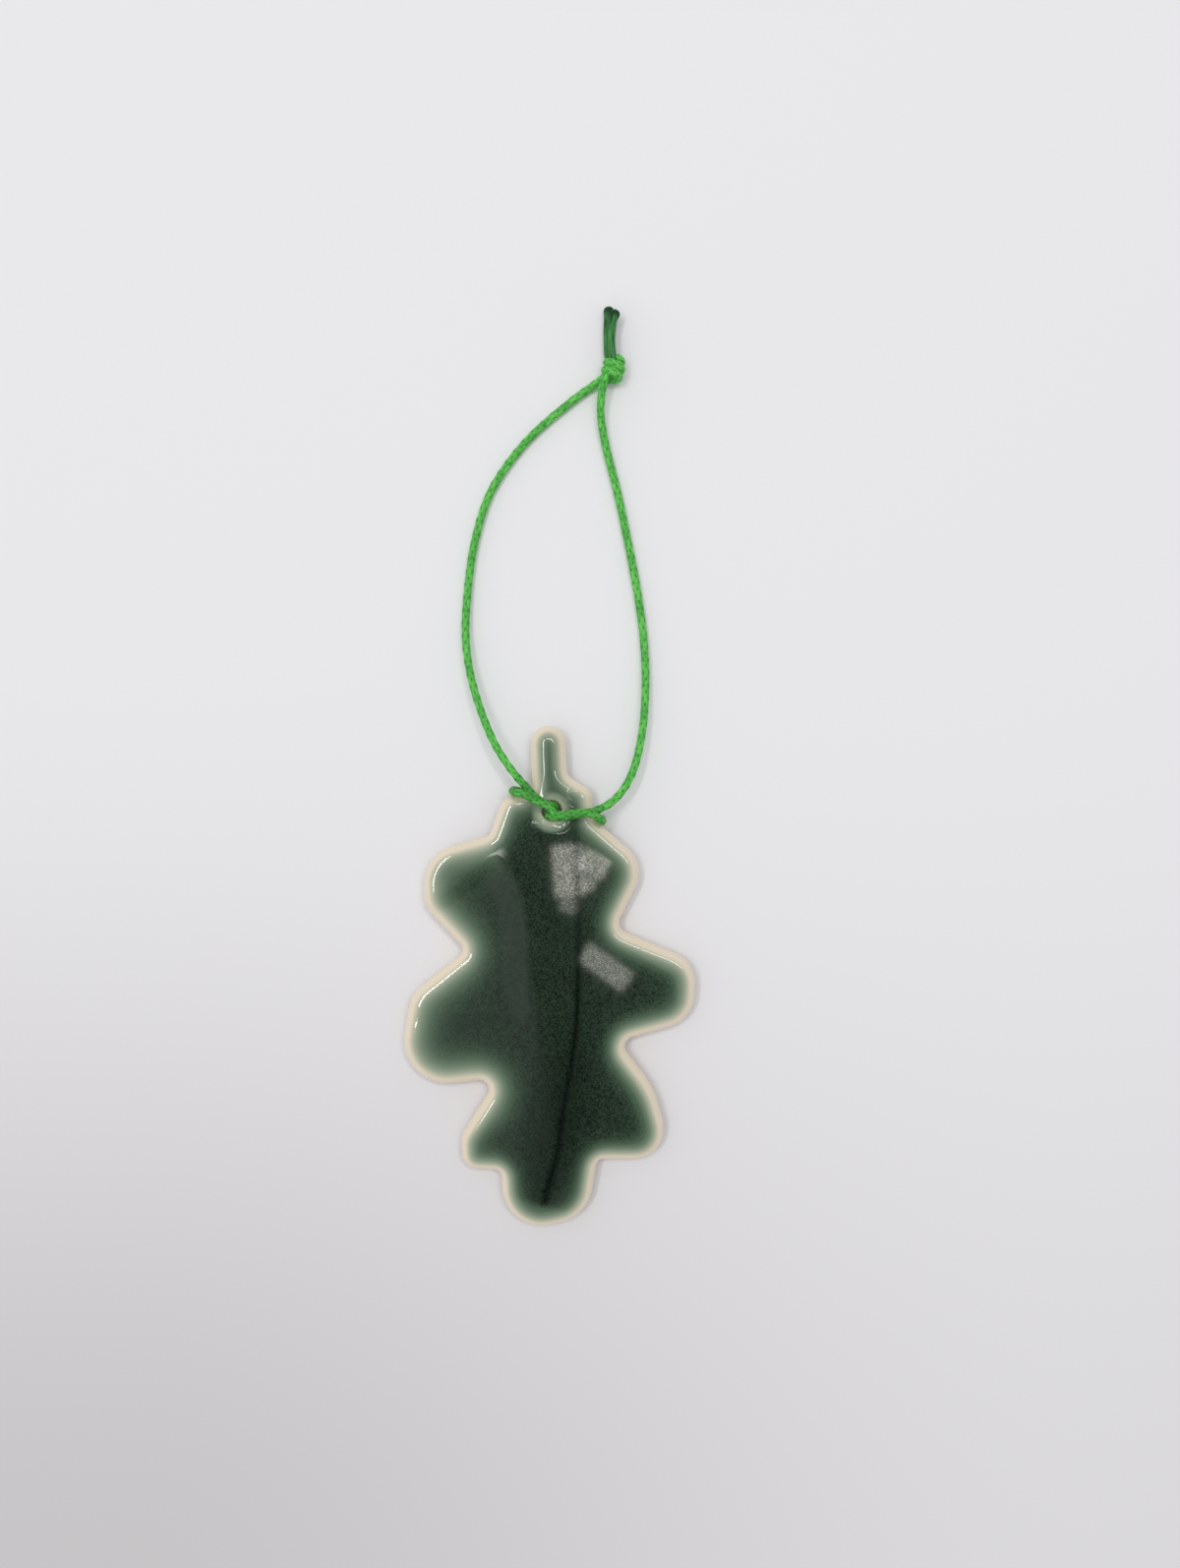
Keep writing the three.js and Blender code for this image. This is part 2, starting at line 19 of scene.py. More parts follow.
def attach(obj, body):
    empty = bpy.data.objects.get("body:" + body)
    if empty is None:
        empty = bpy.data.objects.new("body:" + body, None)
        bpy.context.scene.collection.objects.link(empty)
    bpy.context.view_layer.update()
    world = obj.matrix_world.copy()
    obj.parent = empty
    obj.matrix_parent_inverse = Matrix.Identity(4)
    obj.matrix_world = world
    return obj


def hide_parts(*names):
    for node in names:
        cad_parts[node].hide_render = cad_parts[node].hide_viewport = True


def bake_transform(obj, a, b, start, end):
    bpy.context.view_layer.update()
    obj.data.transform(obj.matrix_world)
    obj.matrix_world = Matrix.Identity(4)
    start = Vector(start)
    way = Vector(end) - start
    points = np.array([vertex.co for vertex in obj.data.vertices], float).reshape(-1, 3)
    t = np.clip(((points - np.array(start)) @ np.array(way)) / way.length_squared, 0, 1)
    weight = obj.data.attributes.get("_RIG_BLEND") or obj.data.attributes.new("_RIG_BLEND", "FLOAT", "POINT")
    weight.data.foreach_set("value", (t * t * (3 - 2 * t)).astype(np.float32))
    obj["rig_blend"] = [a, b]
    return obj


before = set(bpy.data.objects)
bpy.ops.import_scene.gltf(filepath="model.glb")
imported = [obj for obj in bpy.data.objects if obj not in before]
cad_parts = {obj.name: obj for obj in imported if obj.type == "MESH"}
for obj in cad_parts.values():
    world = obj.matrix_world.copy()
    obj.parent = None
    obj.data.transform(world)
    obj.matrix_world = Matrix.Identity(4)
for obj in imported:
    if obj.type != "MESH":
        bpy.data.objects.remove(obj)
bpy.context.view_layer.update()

MM = 0.001
CORD_STEP = 0.12
LOG = logging.getLogger("leaf_ornament")

Colour = tuple[float, float, float]
Place = tuple[float, float, float]
Span = tuple[float, float]
Socket = bpy.types.NodeSocket


def paint(red: int, green: int, blue: int) -> Colour:
    """Turns a colour as it looks on screen, 0 to 255, into linear light."""
    shares = (channel / 255 for channel in (red, green, blue))
    return tuple(share / 12.92 if share < 0.04045 else ((share + 0.055) / 1.055) ** 2.4 for share in shares)


def smoothstep(value: np.ndarray, low: float | np.ndarray, high: float | np.ndarray) -> np.ndarray:
    """Rises smoothly from 0 where the value is low to 1 where it is high."""
    share = np.clip((value - low) / (high - low), 0, 1)
    return share * share * (3 - 2 * share)


def bell(distance: np.ndarray | float, width: float) -> np.ndarray:
    """Falls smoothly from 1 at no distance to 0 well beyond the width."""
    return np.exp(-((distance / width) ** 2))


class Wiring:
    """A node tree while its nodes are added and joined."""

    def __init__(self, tree: bpy.types.NodeTree) -> None:
        """Starts from an empty tree."""
        self.tree = tree
        self.tree.nodes.clear()

    def node(self, kind: str, inputs: dict[str | int, Any] | None = None, **settings: Any) -> bpy.types.Node:
        """Adds one node.

        Args:
            kind: The node's type name.
            inputs: Values or sockets for its inputs, by name or number.
            **settings: Properties of the node.

        Returns:
            The new node.
        """
        node = self.tree.nodes.new(kind)
        for name, value in settings.items():
            setattr(node, name, value)
        for key, value in (inputs or {}).items():
            if isinstance(value, Socket):
                self.tree.links.new(value, node.inputs[key])
            else:
                node.inputs[key].default_value = value
        return node

    def place(self) -> Socket:
        """Reads the place on the piece, in metres."""
        return self.node("ShaderNodeTexCoord").outputs["Object"]

    def read(self, name: str, output: str = "Fac") -> Socket:
        """Reads a value that is written on the piece's mesh."""
        return self.node("ShaderNodeAttribute", attribute_name=name).outputs[output]

    def maths(self, operation: str, *values: Any) -> Socket:
        """Adds a Math node for numbers and sockets."""
        return self.node("ShaderNodeMath", dict(enumerate(values)), operation=operation).outputs[0]

    def remap(self, value: Socket, span: Span, start: float = 0.0, end: float = 1.0) -> Socket:
        """Turns a value smoothly into start at the span's first number and end at its last."""
        inputs = {"Value": value, "From Min": span[0], "From Max": span[1], "To Min": start, "To Max": end}
        return self.node("ShaderNodeMapRange", inputs, interpolation_type="SMOOTHSTEP").outputs[0]

    def noise(self, place: Socket, scale: float | Socket, detail: float, roughness: float = 0.5) -> Socket:
        """Adds a Noise node and gives its value."""
        inputs = {"Vector": place, "Scale": scale, "Detail": detail, "Roughness": roughness}
        return self.node("ShaderNodeTexNoise", inputs).outputs[0]

    def ramp(self, share: Socket, stops: list[tuple[float, Colour]]) -> Socket:
        """Adds a Color Ramp node.

        Args:
            share: The socket that picks the colour.
            stops: Places from 0 to 1, each with its colour.

        Returns:
            The colour's socket.
        """
        node = self.node("ShaderNodeValToRGB", {0: share})
        elements = node.color_ramp.elements
        while len(elements) < len(stops):
            elements.new(1.0)
        for element, (place, colour) in zip(elements, stops):
            element.position = place
            element.color = (*colour, 1)
        return node.outputs[0]

    def mix(self, share: Any, first: Any, second: Any, blend: str = "MIX") -> Socket:
        """Mixes two colours, of which the share tells how much the second counts."""
        first, second = ((*colour, 1) if isinstance(colour, tuple) else colour for colour in (first, second))
        inputs = {0: share, 6: first, 7: second}
        return self.node("ShaderNodeMix", inputs, data_type="RGBA", blend_type=blend).outputs[2]

    def surface(self, colour: Socket, roughness: float | Socket, bump: tuple[Any, float, Socket],
                gloss: float | Socket = 0.5, ior: float = 1.5) -> None:
        """Adds a bumpy surface and joins it to the material's output.

        Args:
            colour: The base colour.
            roughness: How blurred its reflections are.
            bump: The strength, the distance in metres and the height of its relief.
            gloss: How strong its reflections are.
            ior: Its index of refraction.
        """
        strength, distance, height = bump
        relief = self.node("ShaderNodeBump", {"Strength": strength, "Distance": distance, "Height": height})
        shader = self.node("ShaderNodeBsdfPrincipled", {
            "Base Color": colour, "Roughness": roughness, "IOR": ior, "Specular IOR Level": gloss,
            "Normal": relief.outputs[0]})
        self.node("ShaderNodeOutputMaterial", {0: shader.outputs[0]})


GRAIN_SPREAD = (0.38, 0.62)
DULL_SPREAD = (0.44, 0.54)
COARSE_SCALE = 0.31
COARSE_SHARE = 0.12
FIBRE_SPREAD = (0.4, 0.62)


def shared_group(name: str, *outputs: str) -> bpy.types.NodeTree:
    """Finds a node group that more than one finish uses, or starts an empty one.

    Args:
        name: The group's name.
        *outputs: Names of the values that it puts out.

    Returns:
        The group, which has no nodes if it is new.
    """
    if name in bpy.data.node_groups:
        return bpy.data.node_groups[name]
    tree = bpy.data.node_groups.new(name, "ShaderNodeTree")
    for output in outputs:
        tree.interface.new_socket(output, in_out="OUTPUT", socket_type="NodeSocketFloat")
    return tree


def fired_grain() -> bpy.types.NodeTree:
    """Gives the group for the fine grain of fired clay and glaze.

    Returns:
        A group that turns Size, in metres, into a Tone from 0 to 1, a Height, and Dull, which is 1 on the
        specks that mirror less.
    """
    tree = shared_group("fired_grain", "Tone", "Height", "Dull")
    if not tree.nodes:
        tree.interface.new_socket("Size", in_out="INPUT", socket_type="NodeSocketFloat")
        wiring = Wiring(tree)
        place = wiring.place()
        scale = wiring.maths("DIVIDE", 1.0, wiring.node("NodeGroupInput").outputs["Size"])
        fine = wiring.noise(place, scale, 3.0, 0.8)
        coarse = wiring.noise(place, wiring.maths("MULTIPLY", scale, COARSE_SCALE), 1.0)
        mostly_fine = wiring.maths("MULTIPLY", fine, 1 - COARSE_SHARE)
        tone = wiring.maths("MULTIPLY_ADD", coarse, COARSE_SHARE, mostly_fine)
        wiring.node("NodeGroupOutput", {"Tone": wiring.remap(tone, GRAIN_SPREAD), "Height": fine,
                                        "Dull": wiring.remap(fine, DULL_SPREAD)})
    return tree


def yarn_fibres() -> bpy.types.NodeTree:
    """Gives the group for the filaments of a braided yarn.

    Returns:
        A group that puts out a Tone from 0 to 1 and a Height, streaked along the yarns.
    """
    tree = shared_group("yarn_fibres", "Tone", "Height")
    if not tree.nodes:
        wiring = Wiring(tree)
        streak = wiring.noise(wiring.read("yarn", "Vector"), 8.0, 3.0, 0.7)
        wiring.node("NodeGroupOutput", {"Tone": wiring.remap(streak, FIBRE_SPREAD), "Height": streak})
    return tree


@dataclass(frozen=True)
class Finish:
    """A finish that a piece can be given."""

    name: str
    slot: str

    def wire(self, wiring: Wiring) -> None:
        """Adds the finish's nodes.

        Args:
            wiring: The material's node tree.
        """
        raise NotImplementedError

    def material(self) -> bpy.types.Material:
        """Gives the finish's material.

        Returns:
            The material, built the first time that it is asked for.
        """
        if self.name in bpy.data.materials:
            return bpy.data.materials[self.name]
        material = bpy.data.materials.new(self.name)
        material.use_nodes = True
        self.wire(Wiring(material.node_tree))
        return material

    def dress(self, piece: bpy.types.Object) -> None:
        """Puts the finish on a piece."""
        piece.data.materials.append(self.material())


@dataclass(frozen=True)
class GlazeFinish(Finish):
    """Clear green glaze: cream where it runs thin over an edge, deep green where it pools."""

    name: str = "green_glaze"
    slot: str = "glaze"
    grooved: Colour = paint(14, 22, 17)
    stops: tuple[tuple[float, Colour], ...] = (
        (0.0, paint(234, 221, 199)), (0.95, paint(227, 214, 192)), (1.3, paint(199, 196, 174)),
        (1.7, paint(165, 173, 150)), (2.15, paint(136, 150, 129)), (2.7, paint(109, 128, 107)),
        (3.4, paint(82, 102, 83)), (4.3, paint(60, 78, 62)), (5.3, paint(46, 61, 49)),
        (6.8, paint(40, 53, 42)), (9.0, paint(38, 51, 40)), (14.0, paint(37, 49, 38)),
    )
    roughness: float = 0.035
    grain_size: float = 0.0003
    grain_depth: float = 0.0000005
    grain_from: Span = (2.5, 6.5)
    grain_contrast: float = 1.3
    grain_floor: float = 0.35
    dull_from: Span = (2.2, 5.0)
    speck_dulling: float = 0.33
    groove_dulling: float = 0.5
    full_gloss: float = 0.5
    least_gloss: float = 0.1

    def wire(self, wiring: Wiring) -> None:
        """Adds the nodes of the glaze.

        Args:
            wiring: The material's node tree.
        """
        # The depth value also carries the painted sheen on the leaf's left.
        depth, pool = wiring.read("glaze_depth_and_sheen"), wiring.read("glaze_pool")
        deepest = self.stops[-1][0]
        stops = [(place / deepest, colour) for place, colour in self.stops]
        colour = wiring.mix(pool, wiring.ramp(wiring.maths("DIVIDE", depth, deepest), stops), self.grooved)
        grain = wiring.node("ShaderNodeGroup", node_tree=fired_grain())
        grain.inputs["Size"].default_value = self.grain_size
        deep = wiring.remap(depth, self.grain_from)
        tone = wiring.maths("MULTIPLY_ADD", grain.outputs["Tone"], self.grain_contrast, self.grain_floor)
        grey = wiring.node("ShaderNodeCombineColor", {0: tone, 1: tone, 2: tone}).outputs[0]
        colour = wiring.mix(deep, colour, wiring.mix(1.0, colour, grey, "MULTIPLY"))
        most = wiring.remap(depth, self.dull_from, 0.0, self.speck_dulling)
        specks = wiring.maths("MULTIPLY", grain.outputs["Dull"], most)
        dulled = wiring.maths("MULTIPLY_ADD", pool, self.groove_dulling, specks)
        gloss = wiring.maths("MAXIMUM", wiring.maths("SUBTRACT", self.full_gloss, dulled), self.least_gloss)
        wiring.surface(colour, self.roughness, (deep, self.grain_depth, grain.outputs["Height"]), gloss)


@dataclass(frozen=True)
class PorcelainFinish(Finish):
    """Bare fired porcelain: matte, off-white, with a fine grain and faint warm patches."""

    name: str = "bare_porcelain"
    slot: str = "porcelain"
    pale: Colour = paint(232, 226, 213)
    warm: Colour = paint(221, 207, 184)
    speck: Colour = paint(168, 146, 118)
    speck_share: float = 0.16
    patch_scale: float = 90.0
    patch_spread: Span = (0.35, 0.7)
    grain_size: float = 0.0005
    grain_depth: float = 0.00006
    rough_in_pits: float = 0.62
    rough_between: float = 0.5

    def wire(self, wiring: Wiring) -> None:
        """Adds the nodes of the porcelain.

        Args:
            wiring: The material's node tree.
        """
        grain = wiring.node("ShaderNodeGroup", node_tree=fired_grain())
        grain.inputs["Size"].default_value = self.grain_size
        patch = wiring.noise(wiring.place(), self.patch_scale, 3.0)
        colour = wiring.mix(wiring.remap(patch, self.patch_spread), self.pale, self.warm)
        low = wiring.maths("SUBTRACT", 1.0, grain.outputs["Tone"])
        colour = wiring.mix(wiring.maths("MULTIPLY", low, self.speck_share), colour, self.speck)
        rough = wiring.remap(grain.outputs["Tone"], (0.0, 1.0), self.rough_in_pits, self.rough_between)
        wiring.surface(colour, rough, (0.6, self.grain_depth, grain.outputs["Height"]), ior=1.45)


@dataclass(frozen=True)
class CordFinish(Finish):
    """Braided synthetic yarn: its own streaked colour on the crown of each pick, and painted shade in the
    crevices between.
    """

    name: str = "braided_cord"
    slot: str = "cord"
    # The colour of the painted shade in the braid's crevices.
    painted_shade: Colour = paint(18, 94, 28)
    body: Colour = paint(28, 134, 44)
    crown: Colour = paint(124, 226, 100)
    painted_shade_spread: Span = (0.15, 0.68)
    pick_share: float = 0.35
    roughness: float = 0.5
    gloss: float = 0.3
    fibre_depth: float = 0.00004

    def wire(self, wiring: Wiring) -> None:
        """Adds the nodes of the yarn.

        Args:
            wiring: The material's node tree.
        """
        fibres = wiring.node("ShaderNodeGroup", node_tree=yarn_fibres())
        by_pick = wiring.maths("MULTIPLY", wiring.read("pick"), self.pick_share)
        lit = wiring.maths("MULTIPLY_ADD", fibres.outputs["Tone"], 1 - self.pick_share, by_pick)
        yarn = wiring.mix(lit, self.body, self.crown)
        # Low places of the braid, where the ridge value is small, take the painted shade colour.
        colour = wiring.mix(wiring.remap(wiring.read("ridge"), self.painted_shade_spread), self.painted_shade, yarn)
        bump = (0.7, self.fibre_depth, fibres.outputs["Height"])
        wiring.surface(colour, self.roughness, bump, self.gloss)


BRAIDED = CordFinish()
# A darker copy of the braid for the hitch: painted shade for the shadow that the cords above it and the hole
# cast.
HITCH_SHADED = CordFinish("hitch_cord_painted_shade", painted_shade=paint(4, 58, 12), body=paint(16, 104, 28), crown=paint(104, 208, 86))
SEALED = CordFinish("sealed_cord", "cord_end", paint(6, 52, 24), paint(12, 82, 32), paint(84, 154, 84),
                    gloss=0.2, fibre_depth=0.00002)


class Side(Enum):
    """Which side of a circle the outline runs on."""

    LOBE = 1
    NOTCH = -1


LOBE, NOTCH = Side


@dataclass(frozen=True)
class Bend:
    """One circle that the leaf's outline runs round."""

    side: Side
    x: float
    y: float
    radius: float

    def at(self, heading: float) -> np.ndarray:
        """Gives the point of the bend where the outline runs in a direction."""
        reach = self.side.value * self.radius
        return np.array((self.x + reach * math.sin(heading), self.y - reach * math.cos(heading)))


@dataclass
class LeafOutline:
    """The leaf's outline, one belt round its lobes and inside its notches, and its hole."""

    bends: tuple[Bend, ...] = (
        Bend(LOBE, -0.2, 41.7, 3.1), Bend(NOTCH, -4.1, 33.9, 1.1), Bend(LOBE, -5.8, 29, 3.4),
        Bend(NOTCH, -11.6, 26.1, 1.1), Bend(LOBE, -15.7, 16.7, 6.8), Bend(LOBE, -17, 14.8, 5.5),
        Bend(NOTCH, -16.9, 4.7, 1.3), Bend(LOBE, -19.1, -6.6, 6.2), Bend(LOBE, -18.2, -11.4, 7.9),
        Bend(NOTCH, -12.5, -20.3, 1.6), Bend(LOBE, -11.7, -29.8, 4.1), Bend(LOBE, -12.7, -31.6, 3),
        Bend(NOTCH, -9.9, -36, 1.3), Bend(LOBE, -1.3, -37.6, 7.2), Bend(LOBE, 0.5, -37.1, 7.3),
        Bend(NOTCH, 9.9, -34.3, 1.5), Bend(LOBE, 15.3, -27.6, 5.2), Bend(LOBE, 17, -26.9, 3.5),
        Bend(LOBE, 3.7, -27.5, 16.5), Bend(NOTCH, 15.3, -12.7, 1.7), Bend(LOBE, 19.9, -3.2, 6.2),
        Bend(LOBE, 20.4, -1.3, 5.8), Bend(NOTCH, 14.5, 9.5, 1.9), Bend(LOBE, 10.1, 18.4, 6),
        Bend(NOTCH, 9.8, 29.2, 2), Bend(LOBE, 5.4, 31.9, 2.3), Bend(NOTCH, 5.6, 37.3, 2.5),
    )
    hole: tuple[float, float] = (0.5, 29.65)
    hole_radius: float = 1.75
    stem: Span = (33.0, 37.0)

    def in_stem(self, flat: np.ndarray) -> np.ndarray:
        """Tells how far up the stem places are, from 0 below it to 1."""
        return smoothstep(flat[:, 1], *self.stem)

    def from_hole(self, flat: np.ndarray) -> np.ndarray:
        """Measures how far places are from the middle of the hole."""
        return np.linalg.norm(flat - self.hole, axis=1)

    def stretches(self) -> list[tuple[Bend, float, float, np.ndarray, np.ndarray]]:
        """Follows the outline round each bend and straight on to the next.

        Returns:
            Each bend, the heading where its arc starts, the angle that it turns through, and the two ends of
            the straight stretch after it.
        """
        headings = []
        for bend, following in zip(self.bends, self.bends[1:] + self.bends[:1]):
            dx, dy = following.x - bend.x, following.y - bend.y
            widening = following.side.value * following.radius - bend.side.value * bend.radius
            headings.append(math.atan2(dy, dx) - math.asin(widening / math.hypot(dx, dy)))
        found = []
        for index, (bend, leaving) in enumerate(zip(self.bends, headings)):
            start, side = headings[index - 1], bend.side.value
            sweep = side * ((side * (leaving - start)) % math.tau)
            following = self.bends[(index + 1) % len(self.bends)]
            found.append((bend, start, sweep, bend.at(start + sweep), following.at(leaving)))
        return found

    def points(self, step: float) -> np.ndarray:
        """Walks round the outline.

        Args:
            step: The longest distance from one point to the next.

        Returns:
            The points, counter-clockwise.
        """
        found = []
        for bend, start, sweep, first, last in self.stretches():
            steps = max(1, math.ceil(abs(sweep) * bend.radius / step))
            found += [bend.at(start + sweep * count / steps) for count in range(steps + 1)]
            gaps = math.ceil(math.dist(first, last) / step)
            found += [first + (last - first) * count / gaps for count in range(1, gaps)]
        return np.array(found)

    def nearest(self, flat: np.ndarray) -> tuple[np.ndarray, np.ndarray]:
        """Finds how far inside the outline some places are.

        Args:
            flat: Places, x and y.

        Returns:
            The distance inside the outline, and the direction that faces out of the leaf there.
        """
        inside = np.full(len(flat), np.inf)
        outward = np.zeros_like(flat)
        for bend, start, sweep, first, last in self.stretches():
            side = bend.side.value
            spoke = flat - (bend.x, bend.y)
            distance = np.linalg.norm(spoke, axis=1)
            from_middle = side * spoke / np.maximum(distance, 1e-9)[:, None]
            turned = (side * (np.arctan2(from_middle[:, 0], -from_middle[:, 1]) - start)) % math.tau
            length = math.dist(first, last)
            along = (last - first) / length
            square = np.broadcast_to((along[1], -along[0]), flat.shape)
            reach = (flat - first) @ along
            arc = turned <= abs(sweep), side * (bend.radius - distance), from_middle
            straight = (reach >= 0) & (reach <= length), -((flat - first) @ square[0]), square
            for beside, depth, facing in (arc, straight):
                closer = beside & (np.abs(depth) < np.abs(inside))
                inside[closer], outward[closer] = depth[closer], facing[closer]
        return inside, outward


@dataclass
class Route:
    """A smooth line through given points."""

    points: list[Place]
    step: float = CORD_STEP
    samples: int = 60

    def curve(self) -> np.ndarray:
        """Samples the line, a centripetal Catmull-Rom curve through the points.

        Returns:
            Places along the line at equal steps.
        """
        given = np.array(self.points, float)
        ends = np.vstack((2 * given[0] - given[1], given, 2 * given[-1] - given[-2]))
        share = np.linspace(0, 1, self.samples, endpoint=False)[:, None]
        parts = []
        for before, start, end, after in zip(ends, ends[1:], ends[2:], ends[3:]):
            gaps = (before, start), (start, end), (end, after)
            lead, span, trail = (math.sqrt(math.dist(*gap)) for gap in gaps)
            leave = (start - before) / lead - (end - before) / (lead + span) + (end - start) / span
            arrive = (end - start) / span - (after - start) / (span + trail) + (after - end) / trail
            leave, arrive = leave * span, arrive * span
            bend = 3 * (end - start) - 2 * leave - arrive
            twist = 2 * (start - end) + leave + arrive
            parts.append(start + leave * share + bend * share**2 + twist * share**3)
        line = np.vstack((*parts, given[-1]))
        length = np.concatenate(([0], np.cumsum(np.linalg.norm(np.diff(line, axis=0), axis=1))))
        stations = np.linspace(0, length[-1], max(2, round(length[-1] / self.step)) + 1)
        return np.column_stack([np.interp(stations, length, line[:, axis]) for axis in range(3)])

    @staticmethod
    def length_of(line: np.ndarray) -> float:
        """Gives the length of a sampled line."""
        return float(np.linalg.norm(np.diff(line, axis=0), axis=1).sum())


def untwisted(line: np.ndarray) -> tuple[np.ndarray, np.ndarray]:
    """Carries a cross-section along a line without twisting it.

    Args:
        line: Places along the line.

    Returns:
        Two directions square to the line, at each place.
    """
    along = np.gradient(line, axis=0)
    along /= np.linalg.norm(along, axis=1)[:, None]
    side = np.cross(along[0], (0.0, 0.0, 1.0))
    sides = []
    for forward in along:
        side = side - forward * (side @ forward)
        side /= np.linalg.norm(side)
        sides.append(side)
    sides = np.array(sides)
    return sides, np.cross(along, sides)


def add(name: str, data: bpy.types.ID) -> bpy.types.Object:
    """Adds an object to the scene, at the origin.

    Args:
        name: Its name.
        data: Its mesh, camera or light.

    Returns:
        The new object.
    """
    thing = bpy.data.objects.new(name, data)
    bpy.context.scene.collection.objects.link(thing)
    return thing


def new_piece(name: str, shape: bmesh.types.BMesh | bpy.types.Mesh) -> bpy.types.Object:
    """Makes a smooth-shaded object of a finished shape.

    Args:
        name: The piece's name.
        shape: The shape. A BMesh is freed.

    Returns:
        The new object, at the origin.
    """
    mesh = shape
    if isinstance(shape, bmesh.types.BMesh):
        mesh = bpy.data.meshes.new(name)
        shape.to_mesh(mesh)
        shape.free()
    mesh.shade_smooth()
    return add(name, mesh)


def hand_over(piece: bpy.types.Object, finish: Finish, body: str, node: str) -> None:
    """Finishes a rigid piece.

    Args:
        piece: The piece.
        finish: The finish that it is given.
        body: The body that it rides on.
        node: The solid that it stands for.
    """
    finish.dress(piece)
    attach(piece, body)
    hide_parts(node)
    LOG.info("%s: %d faces", piece.name, len(piece.data.polygons))


def rows(items: Any, name: str) -> np.ndarray:
    """Reads three numbers of each item of a mesh.

    Args:
        items: The mesh's points or normals.
        name: What to read.

    Returns:
        The numbers, one item in each row.
    """
    flat = np.empty(len(items) * 3, np.float32)
    items.foreach_get(name, flat)
    return flat.reshape(-1, 3).astype(float)


def place_all(mesh: bpy.types.Mesh, places: np.ndarray) -> None:
    """Moves every point of a mesh to its new place."""
    mesh.vertices.foreach_set("co", places.astype(np.float32).ravel())
    mesh.update()


def paint_values(mesh: bpy.types.Mesh, name: str, values: np.ndarray) -> None:
    """Writes one value at each point of a mesh, for a finish to read."""
    mesh.attributes.new(name, "FLOAT", "POINT").data.foreach_set("value", values.astype(np.float32))


def modified(piece: bpy.types.Object) -> bpy.types.Mesh:
    """Applies a piece's modifiers.

    Args:
        piece: The piece with its modifiers.

    Returns:
        The mesh that they give, which is also the piece's own now.
    """
    mesh = bpy.data.meshes.new_from_object(piece.evaluated_get(bpy.context.evaluated_depsgraph_get()))
    piece.modifiers.clear()
    piece.data = mesh
    return mesh


@dataclass
class FaceLine:
    """A line drawn across the face of the leaf, fading in at its start and out at its end."""

    points: list[tuple[float, float]]
    fade_in: float = 2.0
    fade_out: float = 1.5
    step: float = 0.5

    def distance(self, flat: np.ndarray) -> tuple[np.ndarray, np.ndarray]:
        """Measures how far places are from the line.

        Args:
            flat: Places, x and y.

        Returns:
            The distance to the right of the line, seen along it, and a share that is 0 at both of its
            ends and 1 between them.
        """
        route = Route([(x, y, 0.0) for x, y in self.points], self.step).curve()[:, :2]
        least = np.full(len(flat), np.inf)
        signed, walked = np.zeros(len(flat)), np.zeros(len(flat))
        so_far = 0.0
        for start, end in zip(route, route[1:]):
            run = math.dist(start, end)
            along = (end - start) / run
            reach = np.clip((flat - start) @ along, 0, run)
            gap = flat - start - reach[:, None] * along
            distance = np.linalg.norm(gap, axis=1)
            side = np.sign(gap[:, 0] * along[1] - gap[:, 1] * along[0])
            closer = distance < least
            least[closer] = distance[closer]
            signed[closer], walked[closer] = (distance * side)[closer], (so_far + reach)[closer]
            so_far += run
        return signed, smoothstep(walked, 0, self.fade_in) * smoothstep(so_far - walked, 0, self.fade_out)

    def band(self, flat: np.ndarray, width: float) -> np.ndarray:
        """Tells how close places are to the line, from 1 on it to 0 beside it."""
        offset, ends = self.distance(flat)
        return bell(offset, width) * ends


MIDRIB = FaceLine([(3.1, 32.5), (4.2, 31.6), (4.7, 30.2), (4.8, 27.6), (4.9, 20.4), (5.4, 10.5), (5.1, 3.1),
                   (5.0, -6.8), (4.2, -14.4), (2.9, -21.9), (1.5, -31.8), (-0.3, -38.2), (-1.1, -41.3)])
FOLD = FaceLine([(-9.0, 22.5), (-5.7, 17.6), (-3.7, 10.8), (-3.2, 1.0), (-2.2, -6.4), (-1.5, -16.0)],
                fade_in=3.0, fade_out=16.0)
# Left of this line the glaze is painted paler: painted sheen for the pale room that the glaze mirrors.
SHEEN_LINE = FaceLine([(-13.0, 27.0), *FOLD.points[:-1], (-1.7, -16.0), (-3.5, -25.0), (-9.0, -34.0)],
                     fade_in=4.0, fade_out=9.0)


@dataclass
class Wrinkle(FaceLine):
    """A small ridge in the glaze near the hole."""

    height: float = 0.12
    width: float = 0.25


WRINKLES = (
    Wrinkle([(-2.9, 28.0), (-2.4, 27.2), (-1.9, 27.0), (-1.1, 27.15), (-0.5, 26.9), (0.6, 26.75),
             (1.6, 26.45), (2.5, 26.6), (3.0, 27.1), (3.6, 28.0)], 0.8, 0.8, height=0.2, width=0.32),
    Wrinkle([(3.0, 32.95), (3.5, 32.85), (4.1, 33.1), (5.4, 32.8), (5.8, 32.2)], 0.4, 0.8, width=0.24),
    Wrinkle([(2.9, 32.05), (3.3, 31.75), (3.8, 31.35), (4.3, 31.0), (4.5, 30.3)], 0.5, 0.8, width=0.26),
)


